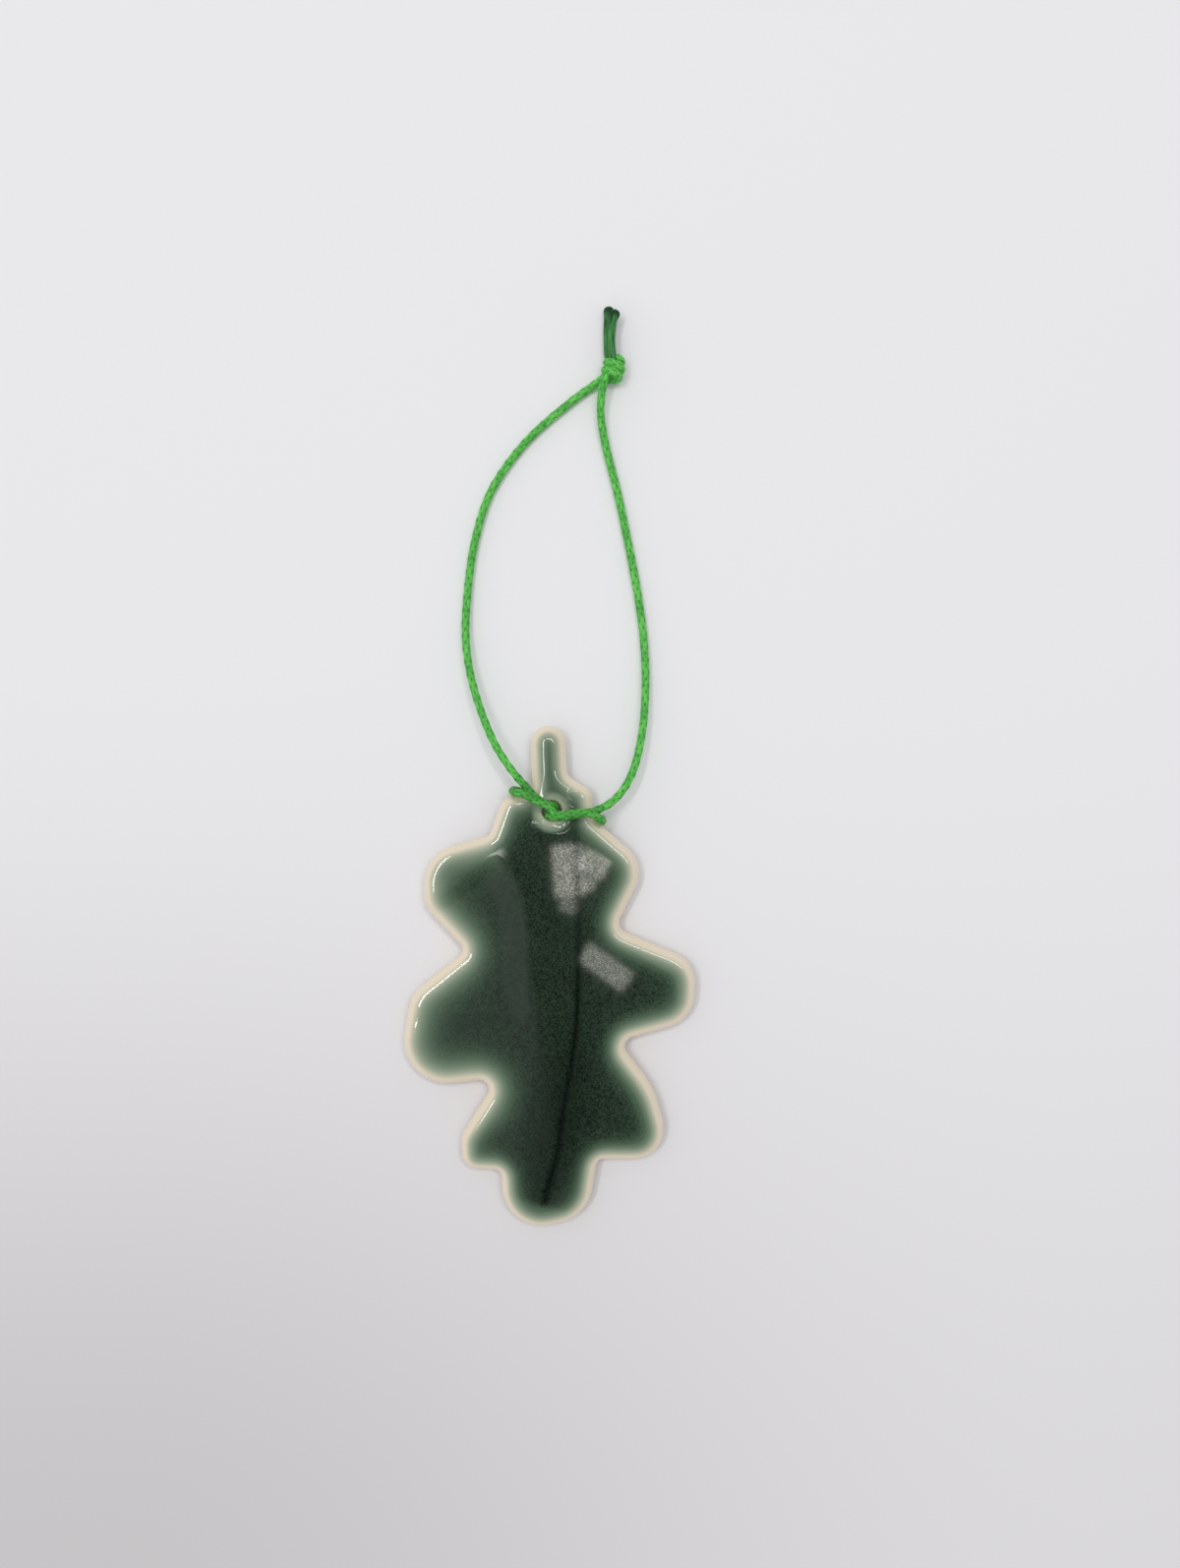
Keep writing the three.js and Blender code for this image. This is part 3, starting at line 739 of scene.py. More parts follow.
@dataclass
class Relief:
    """How the glazed front rises and falls: lip, midrib, wrinkles, fold and shoulder."""

    outline: LeafOutline
    lip_height: float = 0.1
    lip_middle: float = 2.5
    lip_width: float = 0.6
    midrib_depth: float = 0.03
    midrib_width: float = 0.5
    midrib_rise: Span = (-2.0, 8.0)
    fold_drop: float = 0.32
    fold_reach: float = 3.4
    shoulder_start: float = 2.2
    shoulder_slope: float = 0.2
    shoulder_softness: float = 0.22
    wide_shoulder: tuple[float, float] = (21.0, 0.0)
    wide_shoulder_start: float = 1.4
    wide_shoulder_reach: float = 6.0

    def height(self, flat: np.ndarray) -> np.ndarray:
        """Works out the height to add to the flat front.

        Args:
            flat: Places, x and y.

        Returns:
            The height at each place.
        """
        height = self.lip_height * bell(self.outline.from_hole(flat) - self.lip_middle, self.lip_width)
        midrib = MIDRIB.band(flat, self.midrib_width) * smoothstep(-flat[:, 1], *self.midrib_rise)
        height -= self.midrib_depth * midrib
        for wrinkle in WRINKLES:
            height += wrinkle.height * wrinkle.band(flat, wrinkle.width)
        offset, ends = FOLD.distance(flat)
        height -= self.fold_drop * (1 - bell(np.maximum(offset, 0), self.fold_reach)) * ends
        return height - self.shoulder(flat)

    def shoulder(self, flat: np.ndarray) -> np.ndarray:
        """Works out how far the face has sloped down towards the leaf's edge.

        Args:
            flat: Places, x and y.

        Returns:
            The drop at each place.
        """
        inside, _ = self.outline.nearest(flat)
        from_wide = np.linalg.norm(flat - self.wide_shoulder, axis=1)
        start = self.shoulder_start + self.wide_shoulder_start * bell(from_wide, self.wide_shoulder_reach)
        soft = self.shoulder_softness
        beyond = soft * np.logaddexp(0, (start - inside) / soft)
        return self.shoulder_slope * beyond * (1 - self.outline.in_stem(flat))


@dataclass
class Pooling:
    """How deep the glaze stands on the front, which sets its colour."""

    outline: LeafOutline
    edge_sample: float = 0.25
    edge_softness: float = 0.6
    stem_glaze: float = 1.2
    tip_glaze: float = 1.12
    tip: Span = (16.0, 34.0)
    # How much the depth is cut left of the line at the leaf's left: painted sheen for the pale room that the
    # glaze mirrors.
    sheen_paling: float = 0.68
    sheen_paling_depth: float = 9.0
    sheen_paling_side: Span = (-0.6, 1.4)
    mouth_glaze: float = 1.1
    mouth_slope: float = 1.25
    mouth_thinner_below: float = 0.5
    ring: Span = (1.2, 3.2)
    ring_wider_below: Span = (0.6, 0.4)
    beyond_ring: float = 6.0
    nearer_counts: float = 4.0
    line_width: float = 0.66
    line_at_top: float = 0.4
    line_rise: Span = (-14.0, 6.0)
    broad_pool: float = 0.5
    broad_width: float = 5.0
    broad_rise: Span = (2.0, 20.0)
    pool_from: Span = (1.5, 4.0)

    def from_edges(self, flat: np.ndarray) -> np.ndarray:
        """Works out how far from any edge places are, with edges near on many sides counting more.

        Args:
            flat: Places, x and y.

        Returns:
            The distance in millimetres, the true one beside a straight edge.
        """
        edge = self.outline.points(self.edge_sample)
        runs = np.linalg.norm(np.roll(edge, -1, axis=0) - np.roll(edge, 1, axis=0), axis=1) / 2
        nearness = np.zeros(len(flat))
        for (x, y), run in zip(edge, runs):
            square = (flat[:, 0] - x) ** 2 + (flat[:, 1] - y) ** 2 + self.edge_softness**2
            nearness += run / square**3
        beside_straight_edge = 8 / (3 * math.pi)
        nearness *= beside_straight_edge
        return np.sqrt(np.maximum(nearness ** (-2 / 5) - self.edge_softness**2, 0))

    def depth(self, flat: np.ndarray) -> np.ndarray:
        """Works out the depth that sets the colour: thin at the edges and round the hole, and cut at the
        left, where it paints a pale sheen: a painted reflection of the pale room.

        Args:
            flat: Places, x and y.

        Returns:
            The depth at each place.
        """
        depth = self.from_edges(flat)
        depth *= 1 + (self.stem_glaze - 1) * self.outline.in_stem(flat)
        depth *= 1 + (self.tip_glaze - 1) * smoothstep(-flat[:, 1], *self.tip)
        # Cutting the depth here paints the pale sheen, a painted reflection of the room, onto the leaf's
        # left.
        beyond, ends = SHEEN_LINE.distance(flat)
        sheen_share = self.sheen_paling * depth / (depth + self.sheen_paling_depth)
        depth *= 1 - sheen_share * smoothstep(beyond, *self.sheen_paling_side) * ends
        radius = self.outline.from_hole(flat)
        below = np.maximum((self.outline.hole[1] - flat[:, 1]) / radius, 0)
        from_mouth = np.maximum(radius - self.outline.hole_radius, 0)
        at_mouth = self.mouth_glaze + self.mouth_slope * from_mouth / (1 + self.mouth_thinner_below * below)
        start, end = (span + wider * below for span, wider in zip(self.ring, self.ring_wider_below))
        at_mouth += self.beyond_ring * smoothstep(from_mouth, start, end)
        return (depth**-self.nearer_counts + at_mouth**-self.nearer_counts) ** (-1 / self.nearer_counts)

    def pool(self, flat: np.ndarray, depth: np.ndarray) -> np.ndarray:
        """Works out where glaze pools dark along the midrib.

        Args:
            flat: Places, x and y.
            depth: The depth of the glaze there.

        Returns:
            The share of the pool's dark colour at each place.
        """
        beside, ends = MIDRIB.distance(flat)
        low = smoothstep(-flat[:, 1], *self.line_rise)
        line = bell(beside, self.line_width) * (self.line_at_top + (1 - self.line_at_top) * low)
        broad = self.broad_pool * bell(beside, self.broad_width) * smoothstep(-flat[:, 1], *self.broad_rise)
        return (1 - (1 - line) * (1 - broad)) * ends * smoothstep(depth, *self.pool_from)


@dataclass
class LeafPlate:
    """The leaf: a porcelain plate and the glaze coat over its front."""

    outline: LeafOutline = field(default_factory=LeafOutline)
    thickness: float = 4.4
    front_round: float = 1.6
    front_drop: float = 2.2
    back_round: float = 0.7
    mouth_round: float = 0.55
    hole_back_round: float = 0.5
    hole_glaze: float = 0.9
    hole_sides: int = 96
    stem_round: float = 3.0
    glaze_line: float = 1.1
    coat_at_rim: float = 0.15
    coat_on_front: float = 0.4
    coat_full_below: float = 0.3
    coat_mouth: float = 0.2
    bond: float = 0.08
    sunk_below_line: Span = (-0.35, -0.05)
    neck_relief: float = 1.8
    neck: Span = (18.0, 25.0)
    relief_reach: float = 3.0
    voxel: float = 0.25
    edge_sample: float = 0.25

    def prism(self) -> bpy.types.Mesh:
        """Makes the plate with sharp edges, as an even net of small faces.

        Returns:
            The plate, in millimetres.
        """
        bm = bmesh.new()
        ring = [bm.verts.new((x, y, 0)) for x, y in self.outline.points(self.edge_sample)]
        radius, middle = self.outline.hole_radius, (*self.outline.hole, 0)
        mouth = bmesh.ops.create_circle(bm, radius=radius, segments=self.hole_sides)["verts"]
        bmesh.ops.translate(bm, verts=mouth, vec=middle)
        edges = [bm.edges.new(pair) for pair in zip(ring, ring[1:] + ring[:1])]
        edges += {edge for vert in mouth for edge in vert.link_edges}
        bmesh.ops.triangle_fill(bm, edges=edges, use_beauty=True)
        body = bmesh.ops.extrude_face_region(bm, geom=bm.faces[:])["geom"]
        bmesh.ops.translate(bm, verts=[part for part in body if isinstance(part, bmesh.types.BMVert)],
                            vec=(0, 0, self.thickness))
        bmesh.ops.recalc_face_normals(bm, faces=bm.faces[:])
        blank = new_piece("leaf_blank", bm)
        remesh = blank.modifiers.new("even net", "REMESH")
        remesh.mode = "VOXEL"
        remesh.voxel_size = self.voxel
        mesh = modified(blank)
        bpy.data.objects.remove(blank)
        return mesh

    def skin(self) -> bpy.types.Mesh:
        """Rounds the plate's edges and adds the relief.

        Returns:
            The whole skin of the leaf as one closed mesh.
        """
        mesh = self.prism()
        places = rows(mesh.vertices, "co")
        flat, high = places[:, :2], places[:, 2]
        inside, outward = self.outline.nearest(flat)
        radius = self.outline.from_hole(flat)
        from_wall = radius - self.outline.hole_radius
        at_hole = from_wall < inside
        depth = np.where(at_hole, from_wall, inside)
        away = np.where(at_hole[:, None], (self.outline.hole - flat) / radius[:, None], outward)
        edge_round = self.front_round + (self.stem_round - self.front_round) * self.outline.in_stem(flat)
        is_front = high > self.thickness / 2
        back = np.where(at_hole, self.hole_back_round, self.back_round)
        wide = np.where(is_front, np.where(at_hole, self.mouth_round, edge_round), back)
        tall = np.where(is_front, np.where(at_hole, self.mouth_round, self.front_drop), back)
        from_face = np.where(is_front, self.thickness - high, high)
        walked = np.maximum(wide - depth, 0) + from_face
        on_face = (depth > wide) & (from_face < self.voxel)
        turn = np.where(on_face, 0, np.clip(walked / (wide + tall), 0, 1) * (math.pi / 2))
        inset = np.where(on_face, depth, wide * (1 - np.sin(turn)))
        sunk = np.where(on_face | (walked < wide + tall), tall * (1 - np.cos(turn)), from_face)
        level = np.where(is_front, self.thickness - sunk, sunk)
        placed = np.column_stack((flat + away * (depth - inset)[:, None], level))
        raised = Relief(self.outline).height(placed[:, :2])
        placed[:, 2] += np.where(is_front, np.cos(turn) ** 2, 0) * raised
        place_all(mesh, placed)
        return mesh

    def dressed_skin(self) -> bpy.types.Mesh:
        """Gives the leaf's skin with the values that the glaze reads.

        Returns:
            The closed skin, in millimetres, still without the relief behind the neck.
        """
        mesh = self.skin()
        places = rows(mesh.vertices, "co")
        pooling = Pooling(self.outline)
        below_rim = places[:, 2] < self.thickness - self.front_drop
        depth = np.where(below_rim, 0, pooling.depth(places[:, :2]))
        paint_values(mesh, "glaze_depth_and_sheen", depth)
        paint_values(mesh, "glaze_pool", pooling.pool(places[:, :2], depth))
        return mesh

    def behind_neck(self, places: np.ndarray) -> np.ndarray:
        """Raises the back of the neck and stem, where the cord runs.

        Args:
            places: Places on the leaf.

        Returns:
            The same places, raised, in metres.
        """
        relief = self.neck_relief * smoothstep(places[:, 1], *self.neck)
        raised = places[:, 2] + relief * np.maximum(0, 1 - places[:, 2] / self.relief_reach)
        return np.column_stack((places[:, :2], raised)) * MM

    def in_hole(self, face: bmesh.types.BMFace) -> bool:
        """Tells whether a face is on the hole's wall."""
        reach = self.outline.hole_radius + self.mouth_round
        return math.dist(face.calc_center_median()[:2], self.outline.hole) < reach

    def glaze_coat(self, skin: bpy.types.Mesh) -> bpy.types.Object:
        """Cuts the glazed part out of the skin and gives it its thickness.

        Args:
            skin: The leaf's skin.

        Returns:
            The glaze coat.
        """
        bm = bmesh.new()
        bm.from_mesh(skin)
        everything = bm.verts[:] + bm.edges[:] + bm.faces[:]
        bmesh.ops.bisect_plane(bm, geom=everything, plane_co=(0, 0, self.glaze_line), plane_no=(0, 0, 1),
                               clear_inner=True)
        lowest = self.thickness - self.hole_glaze
        wall = [face for face in bm.faces if self.in_hole(face)]
        parts = {part for face in wall for part in (*face.verts, *face.edges)}
        bmesh.ops.bisect_plane(bm, geom=wall + list(parts), plane_co=(0, 0, lowest), plane_no=(0, 0, 1))
        bare = [face for face in bm.faces if self.in_hole(face) and face.calc_center_median().z < lowest]
        bmesh.ops.delete(bm, geom=bare, context="FACES")
        coat = new_piece("glaze_coat", bm)
        weights = coat.vertex_groups.new(name="coat")
        for index, weight in enumerate(self.coat_share(rows(coat.data.vertices, "co"))):
            weights.add([index], float(weight), "REPLACE")
        thickness = coat.modifiers.new("thickness", "SOLIDIFY")
        thickness.thickness = self.coat_on_front
        thickness.offset = -1
        thickness.vertex_group = weights.name
        modified(coat)
        coat.vertex_groups.clear()
        place_all(coat.data, self.behind_neck(rows(coat.data.vertices, "co")))
        return coat

    def coat_share(self, places: np.ndarray) -> np.ndarray:
        """Works out how thick the coat is.

        Args:
            places: Places on the glazed skin.

        Returns:
            The share of the coat's thickness on the front at each place.
        """
        at_rim = self.coat_at_rim / self.coat_on_front
        below = self.thickness - places[:, 2]
        face = 1 - smoothstep(below, self.coat_full_below, self.front_drop)
        in_mouth = self.outline.from_hole(places[:, :2]) < self.outline.hole_radius + self.coat_mouth
        return at_rim + (1 - at_rim) * np.where(in_mouth, 0, face)

    def porcelain_body(self, skin: bpy.types.Mesh) -> bpy.types.Object:
        """Sinks the glazed part of the skin by the coat's thickness.

        Args:
            skin: The leaf's skin.

        Returns:
            The porcelain plate.
        """
        mesh = skin.copy()
        places, normals = rows(mesh.vertices, "co"), rows(mesh.vertex_normals, "vector")
        in_hole = self.outline.from_hole(places[:, :2]) < self.outline.hole_radius + self.mouth_round
        line = np.where(in_hole, self.thickness - self.hole_glaze, self.glaze_line)
        glazed = smoothstep(places[:, 2] - line, *self.sunk_below_line)
        sunk = glazed * (self.coat_share(places) * self.coat_on_front + self.bond)
        place_all(mesh, self.behind_neck(places - normals * sunk[:, None]))
        return new_piece("porcelain_plate", mesh)

    def build(self) -> None:
        """Builds the two layers of the leaf, dresses them and puts them on their body."""
        skin = self.dressed_skin()
        hand_over(self.glaze_coat(skin), GlazeFinish(), "leaf", "leaf_glaze")
        hand_over(self.porcelain_body(skin), PorcelainFinish(), "leaf", "leaf_porcelain")


@dataclass
class Braid:
    """The braided cover of the cord: yarns that cross over and under each other round a core."""

    radius: float = 0.7
    relief: float = 0.16
    middle_height: float = 0.75
    lift: float = 0.5
    fullness: float = 0.6
    yarns: int = 4
    pitch: float = 9.4
    sides: int = 40
    left_yarns_from: int = 57
    fibres_across: float = 1.6
    fibres_along: float = 0.22
    fibres_by_pick: float = 9.0
    # How fast the painted shade deepens where the cord swells into its bead.
    bead_shading: float = 2.0

    @staticmethod
    def scattered(first: np.ndarray, second: np.ndarray) -> np.ndarray:
        """Gives numbers from 0 to 1 without a visible order, the same ones each time."""
        return np.modf(np.abs(np.sin(first * 12.9898 + second * 78.233) * 43758.5453))[0]

    def weave(self, around: np.ndarray, turns: np.ndarray) -> tuple[np.ndarray, np.ndarray, np.ndarray]:
        """Works out the surface of the braid.

        Args:
            around: Share of the way round the cord.
            turns: Turns that a yarn has made round the cord by there.

        Returns:
            The height of the surface from 0 to 1, a tone for its pick, and a place along the yarn's fibres.
        """
        right = self.yarns * (around + turns)
        left = self.yarns * (around - turns)
        crest_right, crest_left = (np.sin(math.pi * (yarn % 1)) ** self.fullness for yarn in (right, left))
        over_right = crest_right + self.lift * np.cos(math.pi * (left - 0.5 - np.floor(right)))
        over_left = crest_left - self.lift * np.cos(math.pi * (right - 0.5 - np.floor(left)))
        on_right = over_right > over_left
        height = np.maximum(over_right, over_left) / (1 + self.lift)
        yarn = np.where(on_right, np.floor(right), np.floor(left) + self.left_yarns_from)
        crossed = np.floor(np.where(on_right, left + np.floor(right) % 2, right + np.floor(left) % 2))
        tone = self.scattered(yarn, crossed)
        across, along = np.where(on_right, right % 1, left % 1), np.where(on_right, left, right)
        fibre = (across * self.fibres_across, along * self.fibres_along, tone * self.fibres_by_pick)
        return height, tone, np.column_stack(fibre)

    def tube(self, name: str, line: np.ndarray, turns: np.ndarray, swell: np.ndarray | None = None,
             ) -> bpy.types.Object:
        """Makes a stretch of braided cord.

        Args:
            name: The piece's name.
            line: Places along the cord's middle, in millimetres.
            turns: Turns that the yarns have made by each place.
            swell: Share of the cord's radius at each place. At 0 the end closes to a point.

        Returns:
            The closed stretch.
        """
        rings = len(line) - 1
        swell = np.ones(len(line)) if swell is None else swell
        sides, ups = untwisted(line)
        bm = bmesh.new()
        bmesh.ops.create_grid(bm, x_segments=self.sides, y_segments=rings, size=0.5)
        grid = np.array([vert.co for vert in bm.verts]) + 0.5
        around = np.round(grid[:, 0] * self.sides) / self.sides
        ring = np.round(grid[:, 1] * rings).astype(int)
        height, tone, fibre = self.weave(around % 1, turns[ring])
        angle = around * math.tau
        reach = (self.radius + self.relief * (height - self.middle_height)) * swell[ring]
        spoke = np.cos(angle)[:, None] * sides[ring] + np.sin(angle)[:, None] * ups[ring]
        places = (line[ring] + spoke * reach[:, None]) * MM
        # Where the cord swells into a bead, the ridge value drops, which paints shade on the bead and its
        # neck.
        ridge = height * np.clip(1 - self.bead_shading * np.maximum(swell[ring] - 1, 0), 0, 1)
        values = [(bm.verts.layers.float.new("ridge"), ridge), (bm.verts.layers.float.new("pick"), tone)]
        yarn = bm.verts.layers.float_vector.new("yarn")
        for index, vert in enumerate(bm.verts):
            vert.co = places[index]
            vert[yarn] = fibre[index]
            for layer, value in values:
                vert[layer] = value[index]
        bmesh.ops.remove_doubles(bm, verts=bm.verts[:], dist=1e-7)
        open_edges = [edge for edge in bm.edges if edge.is_boundary]
        if open_edges:
            bmesh.ops.holes_fill(bm, edges=open_edges, sides=0)
        bmesh.ops.recalc_face_normals(bm, faces=bm.faces[:])
        return new_piece(name, bm)


LEFT_STRAND = [
    (-6.2, 36.3, 4.9), (-9.6, 41.4, 4.2), (-13.5, 51.4, 2.7), (-15.1, 60.4, 1.5), (-14.8, 69.4, 0.9),
    (-13.5, 78.4, 0.8), (-10.6, 87.3, 0.8), (-4.4, 96.1, 0.8), (3.8, 103.4, 0.9), (9.1, 107.2, 1.2),
]
RIGHT_STRAND = [
    (10.5, 30.7, 4.9), (12.7, 32.7, 4.4), (14.8, 36.3, 3.6), (16.5, 42.7, 2.6), (17.3, 51.6, 1.5),
    (17, 60.5, 0.9), (15.8, 69.4, 0.8), (14.1, 78.4, 0.8), (12.2, 87.3, 0.8), (10, 96.1, 1),
    (9.2, 101.6, 1.8), (9.75, 106.3, 2.9),
]
HITCH = [
    (-5.6, 35.6, 5.1), (-4.8, 34.7, 5.3), (-4, 33.85, 5.4), (-3, 32.65, 5.45), (-2.1, 31.8, 5.45),
    (-1.2, 31.2, 5.45), (-0.35, 30.82, 5.4), (0.45, 30.6, 5.1), (0.97, 30.46, 4.45), (1.12, 30.34, 3.6),
    (1.12, 30.34, 2.3), (0.9, 30.5, 1.4), (0.1, 30.95, 0.93), (-3, 31.9, 0.9), (-4.9, 32.8, 0.95),
    (-5.85, 33.2, 1.3), (-6.35, 33.3, 2.1), (-6.5, 33.25, 3), (-6.5, 33.15, 4.1), (-6.25, 32.95, 5.4),
    (-5.6, 32.85, 6.4), (-4.7, 32.7, 6.9), (-3.7, 32.3, 7.15), (-2.9, 31.85, 7.22), (-2.1, 31.4, 7.26),
    (-1.1, 31, 7.27), (-0.27, 30.67, 7.22), (0.45, 30, 7.04), (0.95, 29.37, 7.13), (1.7, 29, 7.3),
    (2.75, 28.92, 7.3), (3.9, 29.1, 7.3), (5, 29.3, 7.3), (6.1, 29.33, 7.3), (7.4, 29.2, 7.25),
    (8.3, 28.8, 6.95), (9.05, 28.15, 6.2), (9.42, 27.75, 4.95), (9.47, 27.95, 3.8), (9.38, 28.12, 2.8),
    (9.2, 28.15, 2), (8.75, 28.1, 1.3), (8, 28.05, 0.93), (5, 28.1, 0.9), (2.2, 28.3, 0.9),
    (0.9, 28.48, 0.93), (0.12, 28.8, 1.4), (-0.12, 28.96, 2.3), (-0.12, 28.96, 3.6), (-0.05, 28.85, 4.45),
    (0.3, 28.74, 5.05), (0.9, 28.6, 5.4), (1.7, 28.55, 5.47), (2.8, 28.6, 5.47), (4.2, 28.85, 5.47),
    (5.6, 29.15, 5.47), (7.4, 29.45, 5.4), (8.6, 29.8, 5.25), (9.6, 30.25, 5.05),
]
TAILS = {
    "left_tail": [(10.9, 110.2, 1.7), (10.5, 111.9, 1.4), (10.4, 114.5, 1), (10.5, 118, 1),
                  (10.8, 120.65, 1)],
    "right_tail": [(11.5, 110.2, 3.0), (11.25, 111.9, 2.9), (11.1, 114.3, 2.65), (11.5, 117.7, 2.5),
                   (11.95, 119.55, 2.4)],
}


@dataclass
class Cord:
    """The one cord: two free strands and the hitch between them, cut where the loop starts to swing.

    Both strands run on into the knot, past the end that shows.
    """

    left_in_knot: Place = (10.8, 108.4, 1.9)
    right_in_knot: Place = (10.5, 108.2, 2.7)
    braid: Braid = field(default_factory=Braid)
    hitch_pitch: float = 7.0
    diameter: float = 1.4
    swing_axis: Place = (2.15, 33.5, 4.9)
    swing_across: tuple[float, float] = (0.318, 0.948)
    bend: Span = (-1.0, 3.0)
    path_step: int = 8

    def build(self) -> None:
        """Builds the two strands and the hitch as stretches of one braid."""
        route = Route([self.left_in_knot, *LEFT_STRAND[::-1], *HITCH, *RIGHT_STRAND, self.right_in_knot])
        line = route.curve()
        first, last = (int(np.argmin(np.linalg.norm(line - end, axis=1))) for end in (HITCH[0], HITCH[-1]))
        pitch = np.full(len(line), self.braid.pitch)
        pitch[first:last] = self.hitch_pitch
        turns = np.cumsum(route.step / pitch)
        self.stretch("left_strand", line[:first + 1], turns[:first + 1])
        self.stretch("hitch", line[first:last + 1], turns[first:last + 1])
        self.stretch("right_strand", line[last:], turns[last:])

    def stretch(self, name: str, line: np.ndarray, turns: np.ndarray) -> None:
        """Builds one stretch, dresses it and puts it where it belongs.

        Args:
            name: The piece's name.
            line: Its middle line.
            turns: Turns that the yarns have made by each place.
        """
        piece = self.braid.tube(name, line, turns)
        # The hitch takes the darker copy of the braid, its painted shade.
        (HITCH_SHADED if name == "hitch" else BRAIDED).dress(piece)
        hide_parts(f"cord_{name}")
        if name == "hitch":
            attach(piece, "leaf")
        else:
            self.free(piece, line if name == "right_strand" else line[::-1])
        LOG.info("%s: %.1f mm", name, Route.length_of(line))

    def free(self, piece: bpy.types.Object, line: np.ndarray) -> None:
        """Lets a strand bend where the loop swings, by blending it from the leaf to the loop.

        Args:
            piece: The strand.
            line: Its middle line, from the hitch to the knot.
        """
        across = Vector((*self.swing_across, 0))
        start, end = ((Vector(self.swing_axis) + across * reach) * MM for reach in self.bend)
        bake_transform(piece, "leaf", "loop", start=tuple(start), end=tuple(end))
        round(Route.length_of(line) * MM, 4)


@dataclass
class Knot:
    """The knot that closes the loop: the doubled cord wrapped round itself and a filled core."""

    middle: Place = (11.5, 109.0, 2.25)
    tilt: float = -12.0
    wrap_radius: float = 1.42
    wrap_shift: float = 0.72
    wrap_start: float = 0.62
    pitch: float = 1.5
    turns: float = 1.6
    ball: float = 2.8
    tuck: float = 0.55
    tuck_share: float = 0.09
    wrap_points: int = 28
    core: float = 1.75
    core_ridge: float = 0.6
    braid: Braid = field(default_factory=lambda: Braid(radius=0.74, pitch=6.0))

    def wrap(self, shift: float) -> list[Place]:
        """Gives the route of one of the two wrapped cords.

        Args:
            shift: How far along the knot the middle of the wrap is.

        Returns:
            Points of the route.
        """
        tilt = math.radians(self.tilt)
        points = []
        for share in np.linspace(0, 1, self.wrap_points + 1):
            angle = math.tau * (self.wrap_start + self.turns * share)
            along = shift + self.pitch * self.turns * (share - 0.5)
            tucked = 1 - self.tuck * bell(min(share, 1 - share), self.tuck_share)
            radius = self.wrap_radius * math.sqrt(1 - (along / self.ball) ** 2) * tucked
            across = radius * math.cos(angle)
            points.append((self.middle[0] + across * math.cos(tilt) - along * math.sin(tilt),
                           self.middle[1] + across * math.sin(tilt) + along * math.cos(tilt),
                           self.middle[2] + radius * math.sin(angle)))
        return points

    def build(self) -> None:
        """Builds the knot out of its core and its two wrapped cords."""
        bm = bmesh.new()
        bmesh.ops.create_icosphere(bm, subdivisions=4, radius=self.core * MM,
                                   matrix=Matrix.Translation(Vector(self.middle) * MM))
        core_count = len(bm.verts)
        for shift in (self.wrap_shift, -self.wrap_shift):
            line = Route(self.wrap(shift)).curve()
            turns = np.cumsum(np.full(len(line), CORD_STEP / self.braid.pitch))
            wrap = self.braid.tube("knot_wrap", line, turns)
            bm.from_mesh(wrap.data)
            bpy.data.objects.remove(wrap)
        # The core takes a middling ridge value, so it gets a little of the cord's painted shade colour.
        ridge = bm.verts.layers.float["ridge"]
        for vert in bm.verts[:core_count]:
            vert[ridge] = self.core_ridge
        hand_over(new_piece("knot", bm), BRAIDED, "loop", "cord_knot")


@dataclass
class Tail:
    """A cord end beyond the knot, stiffened by melting and closed by a bead."""

    name: str
    points: list[Place]
    step: float = 0.1
    bead: float = 1.36
    bead_length: float = 1.7
    bead_neck: float = 0.9
    braid: Braid = field(default_factory=lambda: Braid(relief=0.06, pitch=22.0, yarns=3))

    def build(self) -> None:
        """Builds the tail."""
        line = Route(self.points, self.step).curve()
        length = Route.length_of(line)
        walked = np.linspace(0, length, len(line))
        middle = self.bead_length / 2
        from_middle = length - walked - middle
        round_end = np.sqrt(np.clip(1 - (from_middle / middle) ** 2, 0, 1)) * self.bead
        swell = np.where(from_middle < 0, round_end, 1 + (self.bead - 1) * bell(from_middle, self.bead_neck))
        piece = self.braid.tube(self.name, line, walked / self.braid.pitch, swell)
        hand_over(piece, SEALED, "loop", f"cord_{self.name}")


@dataclass
class Camera:
    """The camera, straight above the table."""

    place: Place = (7.3, 34.4, 220.0)
    seen_height: float = 284.6
    sensor: float = 36.0

    def build(self) -> None:
        """Makes the camera and gives it to the scene."""
        data = bpy.data.cameras.new("camera")
        data.sensor_width = self.sensor
        data.lens = self.sensor * self.place[2] / self.seen_height
        data.clip_start = 0.005
        camera = add("camera", data)
        camera.location = Vector(self.place) * MM
        bpy.context.scene.camera = camera
        LOG.info("camera: lens %.2f mm", data.lens)


@dataclass
class SoftLight:
    """A lit panel that faces the leaf. Its sizes and its distance are in metres."""

    name: str
    toward: Place
    width: float
    height: float
    glow: float
    turn: float = 0.0
    tint: Colour = (1.0, 1.0, 1.0)
    distance: float = 1.2
    aim: Place = (2.0, 8.0, 4.0)

    def build(self) -> None:
        """Makes the light. Its power gives every panel the same brightness at the same glow."""
        data = bpy.data.lights.new(self.name, "AREA")
        data.shape = "RECTANGLE"
        data.size, data.size_y = self.width, self.height
        data.energy = self.glow * math.pi * self.width * self.height
        data.color = self.tint
        light = add(self.name, data)
        away = Vector(self.toward).normalized()
        light.location = Vector(self.aim) * MM + away * self.distance
        light.rotation_euler = away.to_track_quat("Z", "Y").to_euler()
        light.rotation_euler.rotate_axis("Z", math.radians(self.turn))
        LOG.info("%s: %.2f W", self.name, data.energy)


@dataclass
class SkyPanel(SoftLight):
    """A small warm panel near the camera, which the glaze mirrors as a bright patch."""

    tint: Colour = (1.0, 0.97, 0.88)
    distance: float = 1.0
    aim: Place = (7.3, 34.4, 4.4)


